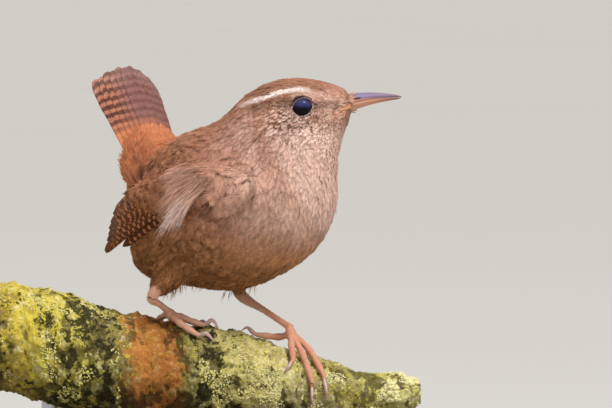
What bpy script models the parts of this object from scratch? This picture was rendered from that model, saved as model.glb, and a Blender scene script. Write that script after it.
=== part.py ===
"""A life-size wren gripping a short length of branch, held by a plain display stand.

Every named size and place is in millimetres, and the finished meshes are in metres.
+X runs along the branch towards the bill, -Y is the side of the bird's right wing,
+Z is up, and the origin is the middle of the stand's underside.
"""

import math

import bmesh
import bpy
import numpy as np
from mathutils import Matrix, Vector

MILLIMETRE = 0.001
GAP = 0.3
CUTTER_SIZE = 160.0

# Stand
BASE_LENGTH = 112.0
BASE_WIDTH = 60.0
BASE_HEIGHT = 6.0
BASE_CORNER = 8.0
BASE_EDGE = 0.9
BASE_CORNER_STEPS = 4
ROD_RADIUS = 2.0
ROD_FOOT_RADIUS = 4.6
ROD_FOOT_HEIGHT = 1.6
ROD_PLACES = {"stand_rod_left": -37.0, "stand_rod_right": 33.0}
ROD_DEPTH_IN_BRANCH = 3.5
ROD_SIDES = 20
ROD_TOP_BEVEL = 0.6

# Branch: place along X, height of its top, radius
BRANCH_STATIONS = (
    (-51.6, 52.0, 12.6),
    (-44.0, 51.2, 13.1),
    (-36.5, 49.9, 13.5),
    (-27.8, 47.2, 13.0),
    (-18.8, 44.4, 12.5),
    (-8.0, 42.5, 12.0),
    (5.4, 40.2, 11.0),
    (15.0, 37.7, 9.9),
    (26.4, 34.1, 8.5),
    (36.0, 31.3, 6.6),
    (42.5, 29.9, 5.0),
    (47.5, 29.9, 4.6),
    (51.4, 28.2, 2.6),
)
BRANCH_SIDES = 20
BRANCH_RINGS = 30
BRANCH_LUMP = 0.35
BRANCH_SWAY = 0.8

# Body: the bird stands turned towards -Y, with its head turned back along the branch
BODY_CENTRE = (7.0, 0.0, 70.0)
BODY_YAW = math.radians(-27.0)
HEAD_CENTRE = (20.6, -6.0, 92.9)
HEAD_YAW = math.radians(-7.0)
BLEND = 1.7

# Rounded masses in the body's frame: forward, up, then half length, half width, half
# height, and the pitch in degrees
BODY_MASSES = (
    (0.4, -0.6, 24.8, 18.6, 18.6, 20.0),
    (10.2, 3.6, 14.4, 15.6, 16.4, 0.0),
    (-5.5, 5.6, 16.5, 16.0, 13.0, 20.0),
    (8.6, 15.6, 11.4, 12.0, 10.6, 30.0),
    (-15.5, 3.6, 10.5, 11.0, 10.6, 0.0),
    (-18.5, -11.0, 8.4, 9.0, 7.4, -10.0),
    (13.6, 14.4, 12.0, 11.6, 11.0, 0.0),
    (-20.6, 6.6, 6.4, 7.0, 8.0, 0.0),
)
# The same in the head's frame, from the head's centre
HEAD_MASSES = (
    (0.0, 0.0, 10.2, 7.5, 7.5, 0.0),
    (7.6, 1.4, 7.0, 4.6, 4.3, -10.0),
    (5.0, -3.2, 8.0, 6.0, 5.4, 8.0),
    (11.6, 1.5, 3.8, 2.6, 2.7, -6.0),
    (-2.5, -2.6, 8.5, 7.9, 6.4, 0.0),
)
# Middle line that the body's rings stand on, from the rump to the face
SPINE = (
    (-7.0, 7.1, 68.0),
    (5.0, 1.0, 70.5),
    (13.0, -3.1, 78.5),
    (18.0, -5.2, 87.0),
    (22.5, -6.2, 92.0),
    (29.0, -7.0, 94.0),
)
BODY_SIDES = 24
BODY_RINGS = 24
CAP_RINGS = 6
NECK_FROM = ((14.6, -3.6, 81.4), (0.42, -0.15, 0.9))
NECK_TO = ((17.2, -4.7, 87.2), (0.55, -0.13, 0.83))

# Eyes
EYE_RADIUS = 2.75
EYE_FORWARD = 2.2
EYE_UP = 1.2
EYE_SINK = 1.75
EYE_TURN = math.radians(10.0)
LID_RADIUS = 2.45
LID_THICKNESS = 0.42
LID_OUT = 1.6
LID_STRETCH = 1.08
LID_SEGMENTS = 16
LID_SIDES = 6

# Bill, from the head's centre in the head's frame
BILL_ROOT = (13.9, 1.75)
BILL_LENGTH = 12.6
BILL_RISE = math.radians(7.5)
BILL_DROP = 0.8
UPPER_DEPTH = 2.35
LOWER_DEPTH = 1.75
BILL_WIDTH = 3.9
BILL_RINGS = 8
BILL_SIDES = 5
LOWER_SHORTER = 0.7
NOSTRIL = (2.1, 1.4, 1.17)
NOSTRIL_SIZE = (1.0, 0.34, 0.24)
# Mouth line in the face: place along the bill, out from its side and up, half height
GAPE_ENDS = ((0.6, 0.0, -0.15, 0.24), (-2.9, 1.5, -0.95, 0.12))
GAPE_DEPTH = 1.1
GAPE_REACH = 2.0

# Tail
TAIL_ROOT = (-8.0, 7.6, 74.6)
TAIL_YAW = math.radians(-45.0)
TAIL_LEAN = math.radians(28.0)
TAIL_LENGTH = 32.2
TAIL_ROUNDING = 0.08
TAIL_FEATHERS = 12
TAIL_ROOT_WIDTH = 8.6
TAIL_END_WIDTH = 17.6
TAIL_TIP_SHIFT = -0.8
TAIL_VANE = 5.4
TAIL_STEP = 0.34
TAIL_SIDE_STEP = 0.07
TAIL_ARCH = 1.1
# The fleshy root: place along the tail, half width and half thickness
TAIL_CORE = ((-5.0, 5.6, 4.2), (0.0, 5.3, 3.8), (3.5, 4.9, 2.9), (8.0, 4.2, 1.1))
TAIL_CORE_SIDES = 12
TAIL_COVERTS = 4
COVERT_LENGTH = 15.0
COVERT_SPREAD = 6.4
COVERT_VANE = 5.6
COVERT_LEVEL = 0.7

# Wing bed: half length, half width and half height of the round form that the folded
# wing lies on, in the body's frame
WING_BED = (31.5, 18.6, 30.0)
WING_CLEARANCE = 0.45
WING_BLEND = 1.2
# Folded wing in the body's frame, forward and up: roots and tips of the first and last
# feather of each tier, how many, their width, the first height and the step between them
WING_TIERS = (
    ("primary", (12.5, 4.6), (9.5, 6.6), (-22.6, -10.6), (-29.2, -9.0), 6, 4.4, 0.0, 0.24),
    ("secondary", (8.0, 6.4), (0.0, 7.0), (-27.6, -7.4), (-25.4, -2.2), 5, 5.2, 1.35, 0.22),
    ("tertial", (-2.0, 6.8), (-5.5, 7.0), (-23.4, -0.6), (-19.4, 1.6), 3, 5.8, 2.35, 0.24),
    ("greater", (12.0, 3.4), (-5.0, 6.4), (3.5, -1.0), (-14.5, 1.8), 5, 5.2, 2.5, 0.12),
    ("median", (13.0, 6.0), (-1.0, 8.0), (7.0, 2.6), (-8.0, 5.2), 4, 5.2, 3.1, 0.1),
)
WING_CORE = ((14.5, 5.8), (-7.0, 7.0), 7.6, 2.9)

# Feather vanes: places along a vane, its share of the full width there, the ridge along
# its middle and how much thinner its tip is
VANE_STATIONS = (0.0, 0.32, 0.62, 0.86, 1.0)
VANE_WIDTHS = (0.42, 0.82, 1.0, 0.86, 0.26)
VANE_THICKNESS = 0.55
VANE_RIDGE = 0.1
VANE_THINNING = 0.35
VANE_BOW = 0.5

# Grid on which the body's side distance is kept: step, first place, counts
SIDE_STEP = 1.5
SIDE_FROM = (-42.0, -24.0)
SIDE_COUNT = (44, 36)
SIDE_REACH = 26.0

# Legs: hip, heel, end of the tarsus
LEGS = {
    "right": ((-5.5, -5.6, 58.4), (-12.4, -12.0, 48.9), (-8.7, -3.2, 45.2)),
    "left": ((5.5, 4.5, 59.0), (8.6, 7.4, 48.4), (20.2, -3.2, 41.4)),
}
THIGH_RADII = (5.6, 4.82, 3.08, 1.75, 1.4)
THIGH_SIDES = 16
TARSUS_RADII = (1.2, 1.2, 0.78, 0.72, 0.74, 0.95)
PAD_RADII = (0.98, 1.35, 1.1)
TOE_RADII = (0.95, 0.86, 0.705, 0.86, 0.688)
TOE_LIFT = 1.28
CLAW_RADII = (0.62, 0.5, 0.3, 0.1)
CLAW_LIFTS = (1.04, 0.87, 0.3)
LIMB_SIDES = 8
CLAW_SIDES = 6
# Each toe: places along the branch, turn round it in degrees from the top towards -Y
# and lift off the bark, then the claw's place, turn and lift at its middle and tip
TOES = {
    "right": {
        "hind": (((-9.6, -14, 0.1), (-11.6, -34, 0.0)), ((-12.6, -54, 0.7), (-12.4, -66, 0.2))),
        "inner": (((-5.6, -4, 0.5), (-2.6, -16, 0.0)), ((-0.4, -22, 1.2), (0.9, -25, 0.2))),
        "middle": (((-5.0, 14, 0.8), (-0.9, 18, 0.2)), ((1.9, 19, 1.7), (3.6, 22, 0.2))),
        "outer": (((-5.8, 26, 0.6), (-2.0, 38, 0.0)), ((0.6, 41, 1.5), (2.5, 45, 0.2))),
    },
    "left": {
        "hind": (((17.6, 4, 0.9), (12.6, -1, 0.1)), ((10.0, -3, 1.1), (8.6, -5, 0.2))),
        "inner": (((20.6, 30, 1.6), (21.0, 47, 0.2)), ((19.9, 62, 1.1), (18.4, 70, 0.2))),
        "middle": (((23.4, 38, 0.6), (25.4, 70, 0.1)), ((25.5, 96, 1.0), (25.8, 118, 0.2))),
        "outer": (((24.6, 24, 0.9), (28.0, 55, 0.1)), ((28.9, 84, 1.0), (28.6, 104, 0.2))),
    },
}

COLOURS = {
    "plumage_brown": ((0.29, 0.16, 0.09), 0.85),
    "plumage_breast": ((0.50, 0.30, 0.19), 0.85),
    "plumage_wing": ((0.16, 0.09, 0.05), 0.8),
    "plumage_tail": ((0.38, 0.17, 0.09), 0.8),
    "eye": ((0.01, 0.01, 0.012), 0.08),
    "bill_horn": ((0.28, 0.19, 0.15), 0.4),
    "leg_skin": ((0.55, 0.28, 0.18), 0.55),
    "claw_horn": ((0.62, 0.47, 0.45), 0.4),
    "bark": ((0.33, 0.33, 0.18), 0.9),
    "stand_wood": ((0.30, 0.20, 0.13), 0.5),
    "stand_steel": ((0.55, 0.55, 0.55), 0.35),
}


def turn_about_z(angle):
    return Matrix.Rotation(angle, 3, "Z")


def body_to_world(forward, side, up):
    """A place in the body's frame; side is positive towards the bird's left."""
    return Vector(BODY_CENTRE) + turn_about_z(BODY_YAW) @ Vector((forward, side, up))


def head_to_world(forward, side, up):
    return Vector(HEAD_CENTRE) + turn_about_z(HEAD_YAW) @ Vector((forward, side, up))


def mass_frames():
    """Centre, half sizes and axes of every rounded mass of the body and head."""
    frames = []
    for masses, place, yaw in (
        (BODY_MASSES, body_to_world, BODY_YAW),
        (HEAD_MASSES, head_to_world, HEAD_YAW),
    ):
        for forward, up, length, width, height, pitch in masses:
            axes = turn_about_z(yaw) @ Matrix.Rotation(-math.radians(pitch), 3, "Y")
            frames.append(
                (
                    np.array(place(forward, 0.0, up)),
                    np.array((length, width, height)),
                    np.array(axes),
                )
            )
    return frames


MASS_FRAMES = mass_frames()


def body_field(points):
    """Signed distance, roughly, from the blended surface of the body and head."""
    total = np.zeros(points.shape[:-1])
    for centre, sizes, axes in MASS_FRAMES:
        local = (points - centre) @ axes
        reach = np.linalg.norm(local / sizes, axis=-1)
        slope = np.linalg.norm(local / sizes**2, axis=-1) + 1e-9
        distance = reach * (reach - 1.0) / slope
        total += np.exp(np.clip(-distance / BLEND, -60.0, 60.0))
    return -BLEND * np.log(total + 1e-30)


def surface_along(starts, directions, reach=48.0):
    """Where rays from inside the body leave it."""
    steps = np.linspace(0.0, reach, 97)
    places = starts[:, None, :] + steps[None, :, None] * directions[:, None, :]
    outside = body_field(places) > 0.0
    first = np.argmax(outside, axis=1)
    low = steps[np.maximum(first - 1, 0)]
    high = steps[first]
    for _ in range(22):
        middle = 0.5 * (low + high)
        inside = body_field(starts + middle[:, None] * directions) < 0.0
        low = np.where(inside, middle, low)
        high = np.where(inside, high, middle)
    return starts + low[:, None] * directions


def curve_step(a, b, c, d, t):
    """A place between b and c on the smooth curve through four points."""
    bend = (2 * a - 5 * b + 4 * c - d) * t**2 + (3 * b - a - 3 * c + d) * t**3
    return 0.5 * (2 * b + (c - a) * t + bend)


def smooth_curve(points, count):
    """Evenly spread places and directions on a smooth curve through the points."""
    points = np.array(points, dtype=float)
    ends = np.vstack((2 * points[0] - points[1], points, 2 * points[-1] - points[-2]))
    dense = []
    for i in range(len(points) - 1):
        a, b, c, d = ends[i : i + 4]
        for t in np.linspace(0.0, 1.0, 24, endpoint=False):
            dense.append(curve_step(a, b, c, d, t))
    dense.append(points[-1])
    dense = np.array(dense)
    steps = np.linalg.norm(np.diff(dense, axis=0), axis=1)
    along = np.concatenate(([0.0], np.cumsum(steps)))
    wanted = np.linspace(0.0, along[-1], count)
    places = np.stack([np.interp(wanted, along, dense[:, k]) for k in range(3)], axis=1)
    tangents = np.gradient(places, axis=0)
    tangents /= np.linalg.norm(tangents, axis=1)[:, None]
    return places, tangents


def mesh_object(name, vertices, faces):
    mesh = bpy.data.meshes.new(name)
    mesh.from_pydata([tuple(v) for v in vertices], [], faces)
    shaped = bmesh.new()
    shaped.from_mesh(mesh)
    bmesh.ops.recalc_face_normals(shaped, faces=shaped.faces)
    shaped.to_mesh(mesh)
    shaped.free()
    piece = bpy.data.objects.new(name, mesh)
    bpy.context.scene.collection.objects.link(piece)
    return piece


def ring_faces(rings, sides):
    """Triangles between successive rings of one vertex count."""
    faces = []
    for i in range(rings - 1):
        for j in range(sides):
            k = (j + 1) % sides
            a, b = i * sides + j, i * sides + k
            c, d = (i + 1) * sides + k, (i + 1) * sides + j
            faces += [(a, b, c), (a, c, d)]
    return faces


def tube_object(name, rings):
    """A closed piece skinned over rings, with a point at the middle of each end."""
    sides = len(rings[0])
    vertices = [v for ring in rings for v in ring]
    faces = ring_faces(len(rings), sides)
    for ring, start in ((rings[0], 0), (rings[-1], (len(rings) - 1) * sides)):
        middle = len(vertices)
        vertices.append(np.mean(np.array(ring), axis=0))
        for j in range(sides):
            faces.append((start + j, start + (j + 1) % sides, middle))
    return mesh_object(name, vertices, faces)


def cross_frame(tangent, side_hint):
    """Two directions square to a tangent, the first as near the hint as can be."""
    tangent = np.array(tangent) / np.linalg.norm(tangent)
    side = np.array(side_hint) - np.dot(side_hint, tangent) * tangent
    side /= np.linalg.norm(side)
    return side, np.cross(tangent, side)


def round_rod(name, points, radii, sides, count, hint=(0.0, 1.0, 0.0)):
    """A tube along a smooth curve, whose radius follows a list of radii."""
    places, tangents = smooth_curve(points, count)
    radius = np.interp(np.linspace(0, 1, count), np.linspace(0, 1, len(radii)), radii)
    rings = []
    for place, tangent, size in zip(places, tangents, radius):
        side, up = cross_frame(tangent, hint)
        angles = 2 * math.pi * np.arange(sides) / sides
        rings.append([place + size * (math.cos(a) * side + math.sin(a) * up) for a in angles])
    return tube_object(name, rings)


def applied(piece):
    """Gives a piece the mesh that its modifiers make."""
    graph = bpy.context.evaluated_depsgraph_get()
    mesh = bpy.data.meshes.new_from_object(piece.evaluated_get(graph))
    old = piece.data
    piece.modifiers.clear()
    piece.data = mesh
    bpy.data.meshes.remove(old)
    return piece


def is_closed(mesh):
    shaped = bmesh.new()
    shaped.from_mesh(mesh)
    closed = len(shaped.faces) > 0 and all(edge.is_manifold for edge in shaped.edges)
    shaped.free()
    return closed


def boolean(piece, others, operation):
    """One Boolean of a piece with a group of closed pieces, which are then removed."""
    group = bpy.data.collections.new("others")
    bpy.context.scene.collection.children.link(group)
    for other in others:
        group.objects.link(other)
    before = piece.data.copy()
    for solver in ("EXACT", "MANIFOLD"):
        step = piece.modifiers.new("boolean", "BOOLEAN")
        step.operation = operation
        step.operand_type = "COLLECTION"
        step.collection = group
        step.solver = solver
        applied(piece)
        if is_closed(piece.data):
            break
        piece.data = before.copy()
    for other in list(group.objects):
        bpy.data.objects.remove(other)
    bpy.data.collections.remove(group)
    return keep_largest(piece)


def keep_largest(piece):
    """Keeps the closed surface of the greatest volume."""
    shaped = bmesh.new()
    shaped.from_mesh(piece.data)
    bmesh.ops.triangulate(shaped, faces=shaped.faces)
    seen, shells = set(), []
    for face in shaped.faces:
        if face in seen:
            continue
        shell, front = [], [face]
        seen.add(face)
        while front:
            here = front.pop()
            shell.append(here)
            for edge in here.edges:
                for beside in edge.link_faces:
                    if beside not in seen:
                        seen.add(beside)
                        front.append(beside)
        shells.append(shell)

    def volume(shell):
        return sum(
            f.verts[0].co.dot(f.verts[1].co.cross(f.verts[2].co)) for f in shell
        )

    best = max(shells, key=volume)
    spare = [f for shell in shells if shell is not best for f in shell]
    bmesh.ops.delete(shaped, geom=spare, context="FACES")
    shaped.to_mesh(piece.data)
    shaped.free()
    return piece


def cut_flat(piece, point, normal):
    """Cuts away what lies beyond a plane."""
    shaped = bmesh.new()
    bmesh.ops.create_cube(shaped, size=CUTTER_SIZE)
    bmesh.ops.translate(shaped, verts=shaped.verts, vec=(0.0, 0.0, 0.5 * CUTTER_SIZE))
    turn = Vector(normal).to_track_quat("Z", "Y").to_matrix().to_4x4()
    bmesh.ops.transform(shaped, matrix=Matrix.Translation(point) @ turn, verts=shaped.verts)
    mesh = bpy.data.meshes.new("cutter")
    shaped.to_mesh(mesh)
    shaped.free()
    cutter = bpy.data.objects.new("cutter", mesh)
    return boolean(piece, [cutter], "DIFFERENCE")


def material(name):
    made = bpy.data.materials.get(name)
    if made is None:
        colour, roughness = COLOURS[name]
        made = bpy.data.materials.new(name)
        made.use_nodes = True
        shader = made.node_tree.nodes["Principled BSDF"]
        shader.inputs["Base Color"].default_value = (*colour, 1.0)
        shader.inputs["Roughness"].default_value = roughness
        shader.inputs["Metallic"].default_value = 1.0 if name == "stand_steel" else 0.0
    return made


def finished(piece, name, slot, sharp=35.0):
    """Names a piece, gives it its material and brings it to metres."""
    piece.name = name
    piece.data.name = name
    piece.data.transform(Matrix.Scale(MILLIMETRE, 4))
    piece.data.materials.clear()
    piece.data.materials.append(material(slot))
    piece.data.shade_smooth()
    piece.data.set_sharp_from_angle(angle=math.radians(sharp))
    return piece


def whole_body():
    """Rump, torso, neck and head as one closed piece, skinned ring by ring."""
    places, tangents = smooth_curve(SPINE, BODY_RINGS)
    rings = []
    angles = 2 * math.pi * np.arange(BODY_SIDES) / BODY_SIDES
    across = (math.sin(-BODY_YAW), math.cos(BODY_YAW), 0.0)

    def ring(place, tangent, tilt):
        side, up = cross_frame(tangent, across)
        out = [math.cos(a) * side + math.sin(a) * up for a in angles]
        lean = np.array([math.cos(tilt) * o + math.sin(tilt) * tangent for o in out])
        return list(surface_along(np.repeat(place[None, :], BODY_SIDES, axis=0), lean))

    for i in range(CAP_RINGS, 0, -1):
        rings.append(ring(places[0], tangents[0], -0.5 * math.pi * i / (CAP_RINGS + 0.6)))
    for place, tangent in zip(places, tangents):
        rings.append(ring(place, tangent, 0.0))
    for i in range(1, CAP_RINGS + 1):
        rings.append(ring(places[-1], tangents[-1], 0.5 * math.pi * i / (CAP_RINGS + 0.6)))
    return tube_object("body", rings)


def copy_of(piece, name):
    twin = piece.copy()
    twin.data = piece.data.copy()
    twin.name = name
    bpy.context.scene.collection.objects.link(twin)
    return twin


def shifted(point, normal, distance):
    return tuple(Vector(point) + distance * Vector(normal).normalized())


def grown(piece, distance):
    """Moves a piece's surface out along its normals."""
    normals = [vertex.normal.copy() for vertex in piece.data.vertices]
    for vertex, normal in zip(piece.data.vertices, normals):
        vertex.co += distance * normal
    return piece


def ball(name, centre, radius, segments=16, rings=10):
    shaped = bmesh.new()
    bmesh.ops.create_uvsphere(shaped, u_segments=segments, v_segments=rings, radius=radius)
    bmesh.ops.translate(shaped, verts=shaped.verts, vec=Vector(centre))
    mesh = bpy.data.meshes.new(name)
    shaped.to_mesh(mesh)
    shaped.free()
    piece = bpy.data.objects.new(name, mesh)
    bpy.context.scene.collection.objects.link(piece)
    return piece


def stretched_ball(name, centre, sizes, axes, segments=10, rings=6):
    piece = ball(name, (0.0, 0.0, 0.0), 1.0, segments, rings)
    matrix = axes.to_4x4() @ Matrix.Diagonal((*sizes, 1.0))
    piece.data.transform(Matrix.Translation(centre) @ matrix)
    return piece


def eye_axis(side):
    """The direction that an eye looks in."""
    return turn_about_z(HEAD_YAW + side * (0.5 * math.pi - EYE_TURN)) @ Vector((1.0, 0.0, 0.0))


def eye_centre(side):
    """The middle of an eyeball, sunk below the face's surface."""
    start = np.array([head_to_world(EYE_FORWARD, 0.0, EYE_UP)])
    axis = eye_axis(side)
    return Vector(surface_along(start, np.array([axis]))[0]) - EYE_SINK * axis


def lid_ring(side):
    """The thick rim of an eye's two lids."""
    centre, axis = np.array(eye_centre(side)), np.array(eye_axis(side))
    across, up = cross_frame(axis, (1.0, 0.0, 0.0))
    rings = []
    for i in range(LID_SEGMENTS):
        angle = 2 * math.pi * i / LID_SEGMENTS
        out = math.cos(angle) * LID_STRETCH * across + math.sin(angle) * up
        middle = centre + LID_OUT * axis + LID_RADIUS * out
        turns = 2 * math.pi * np.arange(LID_SIDES) / LID_SIDES
        rings.append(
            [middle + LID_THICKNESS * (math.cos(t) * out + math.sin(t) * axis) for t in turns]
        )
    vertices = [v for ring in rings for v in ring]
    faces = []
    for i in range(LID_SEGMENTS):
        here, beside = i * LID_SIDES, ((i + 1) % LID_SEGMENTS) * LID_SIDES
        for j in range(LID_SIDES):
            k = (j + 1) % LID_SIDES
            faces += [(here + j, here + k, beside + k), (here + j, beside + k, beside + j)]
    return mesh_object("lid", vertices, faces)


def bill_axes():
    """Forward and up of the bill, which points very slightly up."""
    forward = turn_about_z(HEAD_YAW) @ Matrix.Rotation(-BILL_RISE, 3, "Y") @ Vector((1, 0, 0))
    side = turn_about_z(HEAD_YAW) @ Vector((0, 1, 0))
    return forward, side, forward.cross(side)


def bill_place(along, side, up):
    forward, left, above = bill_axes()
    root = head_to_world(BILL_ROOT[0], 0.0, BILL_ROOT[1])
    return root + along * forward + side * left + up * above


def bill_half(name, upper):
    """One half of the bill, as arched rings on a flat meeting face."""
    depth = UPPER_DEPTH if upper else LOWER_DEPTH
    way = 1.0 if upper else -1.0
    length = BILL_LENGTH if upper else BILL_LENGTH - LOWER_SHORTER
    rings = []
    for i in range(BILL_RINGS):
        t = i / (BILL_RINGS - 1)
        along = length * t
        taper = (1.0 - t) ** 0.82 * 0.93 + 0.07
        half = 0.5 * BILL_WIDTH * ((1.0 - t) ** 1.15 * 0.9 + 0.1)
        meet = way * 0.5 * GAP - BILL_DROP * t**2
        ring = []
        for j in range(BILL_SIDES + 1):
            angle = math.pi * j / BILL_SIDES
            arch = depth * taper * math.sin(angle) ** (0.8 if upper else 0.95)
            ring.append(bill_place(along, half * math.cos(angle), meet + way * arch))
        ring.append(bill_place(along, 0.0, meet + way * 0.02 * depth * taper))
        rings.append(ring)
    return tube_object(name, rings)


def make_bill():
    upper = bill_half("bill_upper", True)
    forward, left, above = bill_axes()
    axes = Matrix((forward, left, above)).transposed()
    holes = []
    for side in (-1.0, 1.0):
        place = bill_place(NOSTRIL[0], side * NOSTRIL[1], NOSTRIL[2])
        holes.append(stretched_ball("nostril", place, NOSTRIL_SIZE, axes))
    finished(boolean(upper, holes, "DIFFERENCE"), "bill_upper", "bill_horn")
    finished(bill_half("bill_lower", False), "bill_lower", "bill_horn")


def gape_cutter(side):
    """The groove that carries the mouth's line back into the face."""
    left, above = bill_axes()[1:]
    out = side * left
    rings = []
    for along, beyond, rise, height in GAPE_ENDS:
        place = bill_place(along, side * (0.5 * BILL_WIDTH + beyond), rise)
        corners = (
            (-GAPE_DEPTH, -height),
            (GAPE_REACH, -height),
            (GAPE_REACH, height),
            (-GAPE_DEPTH, height),
        )
        rings.append([np.array(place + out * reach + above * lift) for reach, lift in corners])
    return tube_object("gape", rings)


def make_head_and_body():
    body = whole_body()
    forward = bill_axes()[0]
    bill_root = head_to_world(BILL_ROOT[0], 0.0, BILL_ROOT[1])
    cut_flat(body, shifted(bill_root, forward, -GAP), forward)
    head = copy_of(body, "head")
    neck = copy_of(body, "neck")
    cut_flat(head, shifted(*NECK_TO, GAP), tuple(-c for c in NECK_TO[1]))
    cut_flat(neck, NECK_TO[0], NECK_TO[1])
    cut_flat(neck, shifted(*NECK_FROM, GAP), tuple(-c for c in NECK_FROM[1]))
    cut_flat(body, NECK_FROM[0], NECK_FROM[1])
    boolean(head, [lid_ring(-1.0), lid_ring(1.0)], "UNION")
    cutters = [gape_cutter(-1.0), gape_cutter(1.0)]
    cutters += [ball("socket", eye_centre(s), EYE_RADIUS + GAP) for s in (-1.0, 1.0)]
    boolean(head, cutters, "DIFFERENCE")
    finished(head, "head", "plumage_brown")
    finished(neck, "neck", "plumage_brown")
    for name, side in (("eye_right", -1.0), ("eye_left", 1.0)):
        finished(ball(name, eye_centre(side), EYE_RADIUS), name, "eye")
    return body


def tail_axes():
    """Along the tail, across it towards the bird's left, and out of its upper side."""
    back = turn_about_z(TAIL_YAW) @ Vector((-math.sin(TAIL_LEAN), 0.0, math.cos(TAIL_LEAN)))
    across = turn_about_z(TAIL_YAW) @ Vector((0.0, 1.0, 0.0))
    return back, across, across.cross(back)


def tail_place(along, side, up):
    back, across, above = tail_axes()
    return Vector(TAIL_ROOT) + along * back + side * across + up * above


def vane(name, place, root, tip, width, height, thickness=VANE_THICKNESS, bow=0.0):
    """A feather's vane from root to tip on the sheet that place() gives."""
    root, tip = np.array(root, dtype=float), np.array(tip, dtype=float)
    along = tip - root
    across = np.array((-along[1], along[0])) / np.linalg.norm(along)
    vertices = []
    for t, share in zip(VANE_STATIONS, VANE_WIDTHS):
        middle = root + t * along + bow * math.sin(math.pi * t) * across
        half = 0.5 * width * share
        thick = thickness * (1.0 - VANE_THINNING * t)
        for offset, low, high in (
            (-half, 0.0, thick),
            (0.0, VANE_RIDGE, thick + VANE_RIDGE),
            (half, 0.0, thick),
        ):
            here = [float(c) for c in middle + offset * across]
            vertices.append(place(*here, height + low))
            vertices.append(place(*here, height + high))
    faces = []
    for i in range(len(VANE_STATIONS) - 1):
        a, b = i * 6, (i + 1) * 6
        for j in (0, 2):
            faces += [(a + j, a + j + 2, b + j + 2), (a + j, b + j + 2, b + j)]
            faces += [(a + j + 1, b + j + 3, a + j + 3), (a + j + 1, b + j + 1, b + j + 3)]
        faces += [(a, b, b + 1), (a, b + 1, a + 1)]
        faces += [(a + 4, b + 5, b + 4), (a + 4, a + 5, b + 5)]
    end = (len(VANE_STATIONS) - 1) * 6
    for start in (0, end):
        for j in (0, 2):
            faces += [
                (start + j, start + j + 1, start + j + 3),
                (start + j, start + j + 3, start + j + 2),
            ]
    return mesh_object(name, vertices, faces)


def make_tail(body):
    """Twelve tail feathers in a narrow, arched fan, and the coverts over their roots."""

    def sheet(along, side, up):
        return tail_place(along, side, up - TAIL_ARCH * (2.0 * side / TAIL_END_WIDTH) ** 2)

    pieces = []
    middle = 0.5 * (TAIL_FEATHERS - 1)
    for i in range(TAIL_FEATHERS):
        share = (i - middle) / middle
        outward = abs(share)
        length = TAIL_LENGTH * (1.0 - TAIL_ROUNDING * outward**2 - 0.012 * (i % 2) - 0.015 * share)
        root = (1.5, 0.5 * TAIL_ROOT_WIDTH * share)
        tip = (length, TAIL_TIP_SHIFT + 0.5 * TAIL_END_WIDTH * share)
        level = -TAIL_STEP * (abs(i - middle) - 0.5) + (TAIL_SIDE_STEP if i > middle else 0.0)
        pieces.append(vane("rectrix", sheet, root, tip, TAIL_VANE, level))
    low = -TAIL_STEP * middle - COVERT_LEVEL
    for i in range(TAIL_COVERTS):
        share = (i - 0.5 * (TAIL_COVERTS - 1)) / (0.5 * (TAIL_COVERTS - 1))
        root = (0.8, 0.4 * TAIL_ROOT_WIDTH * share)
        for length, level in ((COVERT_LENGTH, COVERT_LEVEL), (0.8 * COVERT_LENGTH, low)):
            tip = (length - 2.5 * abs(share), COVERT_SPREAD * share)
            height = level + 0.04 * i - 0.3 * abs(share)
            pieces.append(vane("covert", sheet, root, tip, COVERT_VANE, height))
    core_rings = []
    for along, half, thick in TAIL_CORE:
        ring = []
        for j in range(TAIL_CORE_SIDES):
            angle = 2 * math.pi * j / TAIL_CORE_SIDES
            ring.append(tail_place(along, half * math.cos(angle), thick * math.sin(angle)))
        core_rings.append(ring)
    tail = boolean(tube_object("tail", core_rings), pieces, "UNION")
    boolean(tail, [grown(copy_of(body, "clear"), GAP)], "DIFFERENCE")
    finished(tail, "tail", "plumage_tail")


def body_side(forward, up):
    """How far out the body's surface lies at one side, or zero beyond the body."""
    reach = np.linspace(0.0, SIDE_REACH, 105)
    line = np.array([body_to_world(forward, r, up) for r in reach])
    inside = np.nonzero(body_field(line) < 0.0)[0]
    return 0.0 if len(inside) == 0 else reach[inside[-1]]


def side_table():
    """The body's side distance on an even grid, read later between its places."""
    table = np.zeros(SIDE_COUNT)
    for i in range(SIDE_COUNT[0]):
        for j in range(SIDE_COUNT[1]):
            table[i, j] = body_side(SIDE_FROM[0] + SIDE_STEP * i, SIDE_FROM[1] + SIDE_STEP * j)
    return table


def wing_bed(table, forward, up):
    """Distance out from the middle plane of the sheet that the folded wing lies on."""
    a = min(max((forward - SIDE_FROM[0]) / SIDE_STEP, 0.0), SIDE_COUNT[0] - 1.001)
    b = min(max((up - SIDE_FROM[1]) / SIDE_STEP, 0.0), SIDE_COUNT[1] - 1.001)
    i, j = int(a), int(b)
    a, b = a - i, b - j
    low = table[i, j] * (1 - a) + table[i + 1, j] * a
    high = table[i, j + 1] * (1 - a) + table[i + 1, j + 1] * a
    side = low * (1 - b) + high * b
    length, width, height = WING_BED
    left = max(1.0 - (forward / length) ** 2 - (up / height) ** 2, 0.02)
    bed = width * math.sqrt(left)
    both = math.exp(side / WING_BLEND) + math.exp(bed / WING_BLEND)
    return WING_BLEND * math.log(both)


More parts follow.
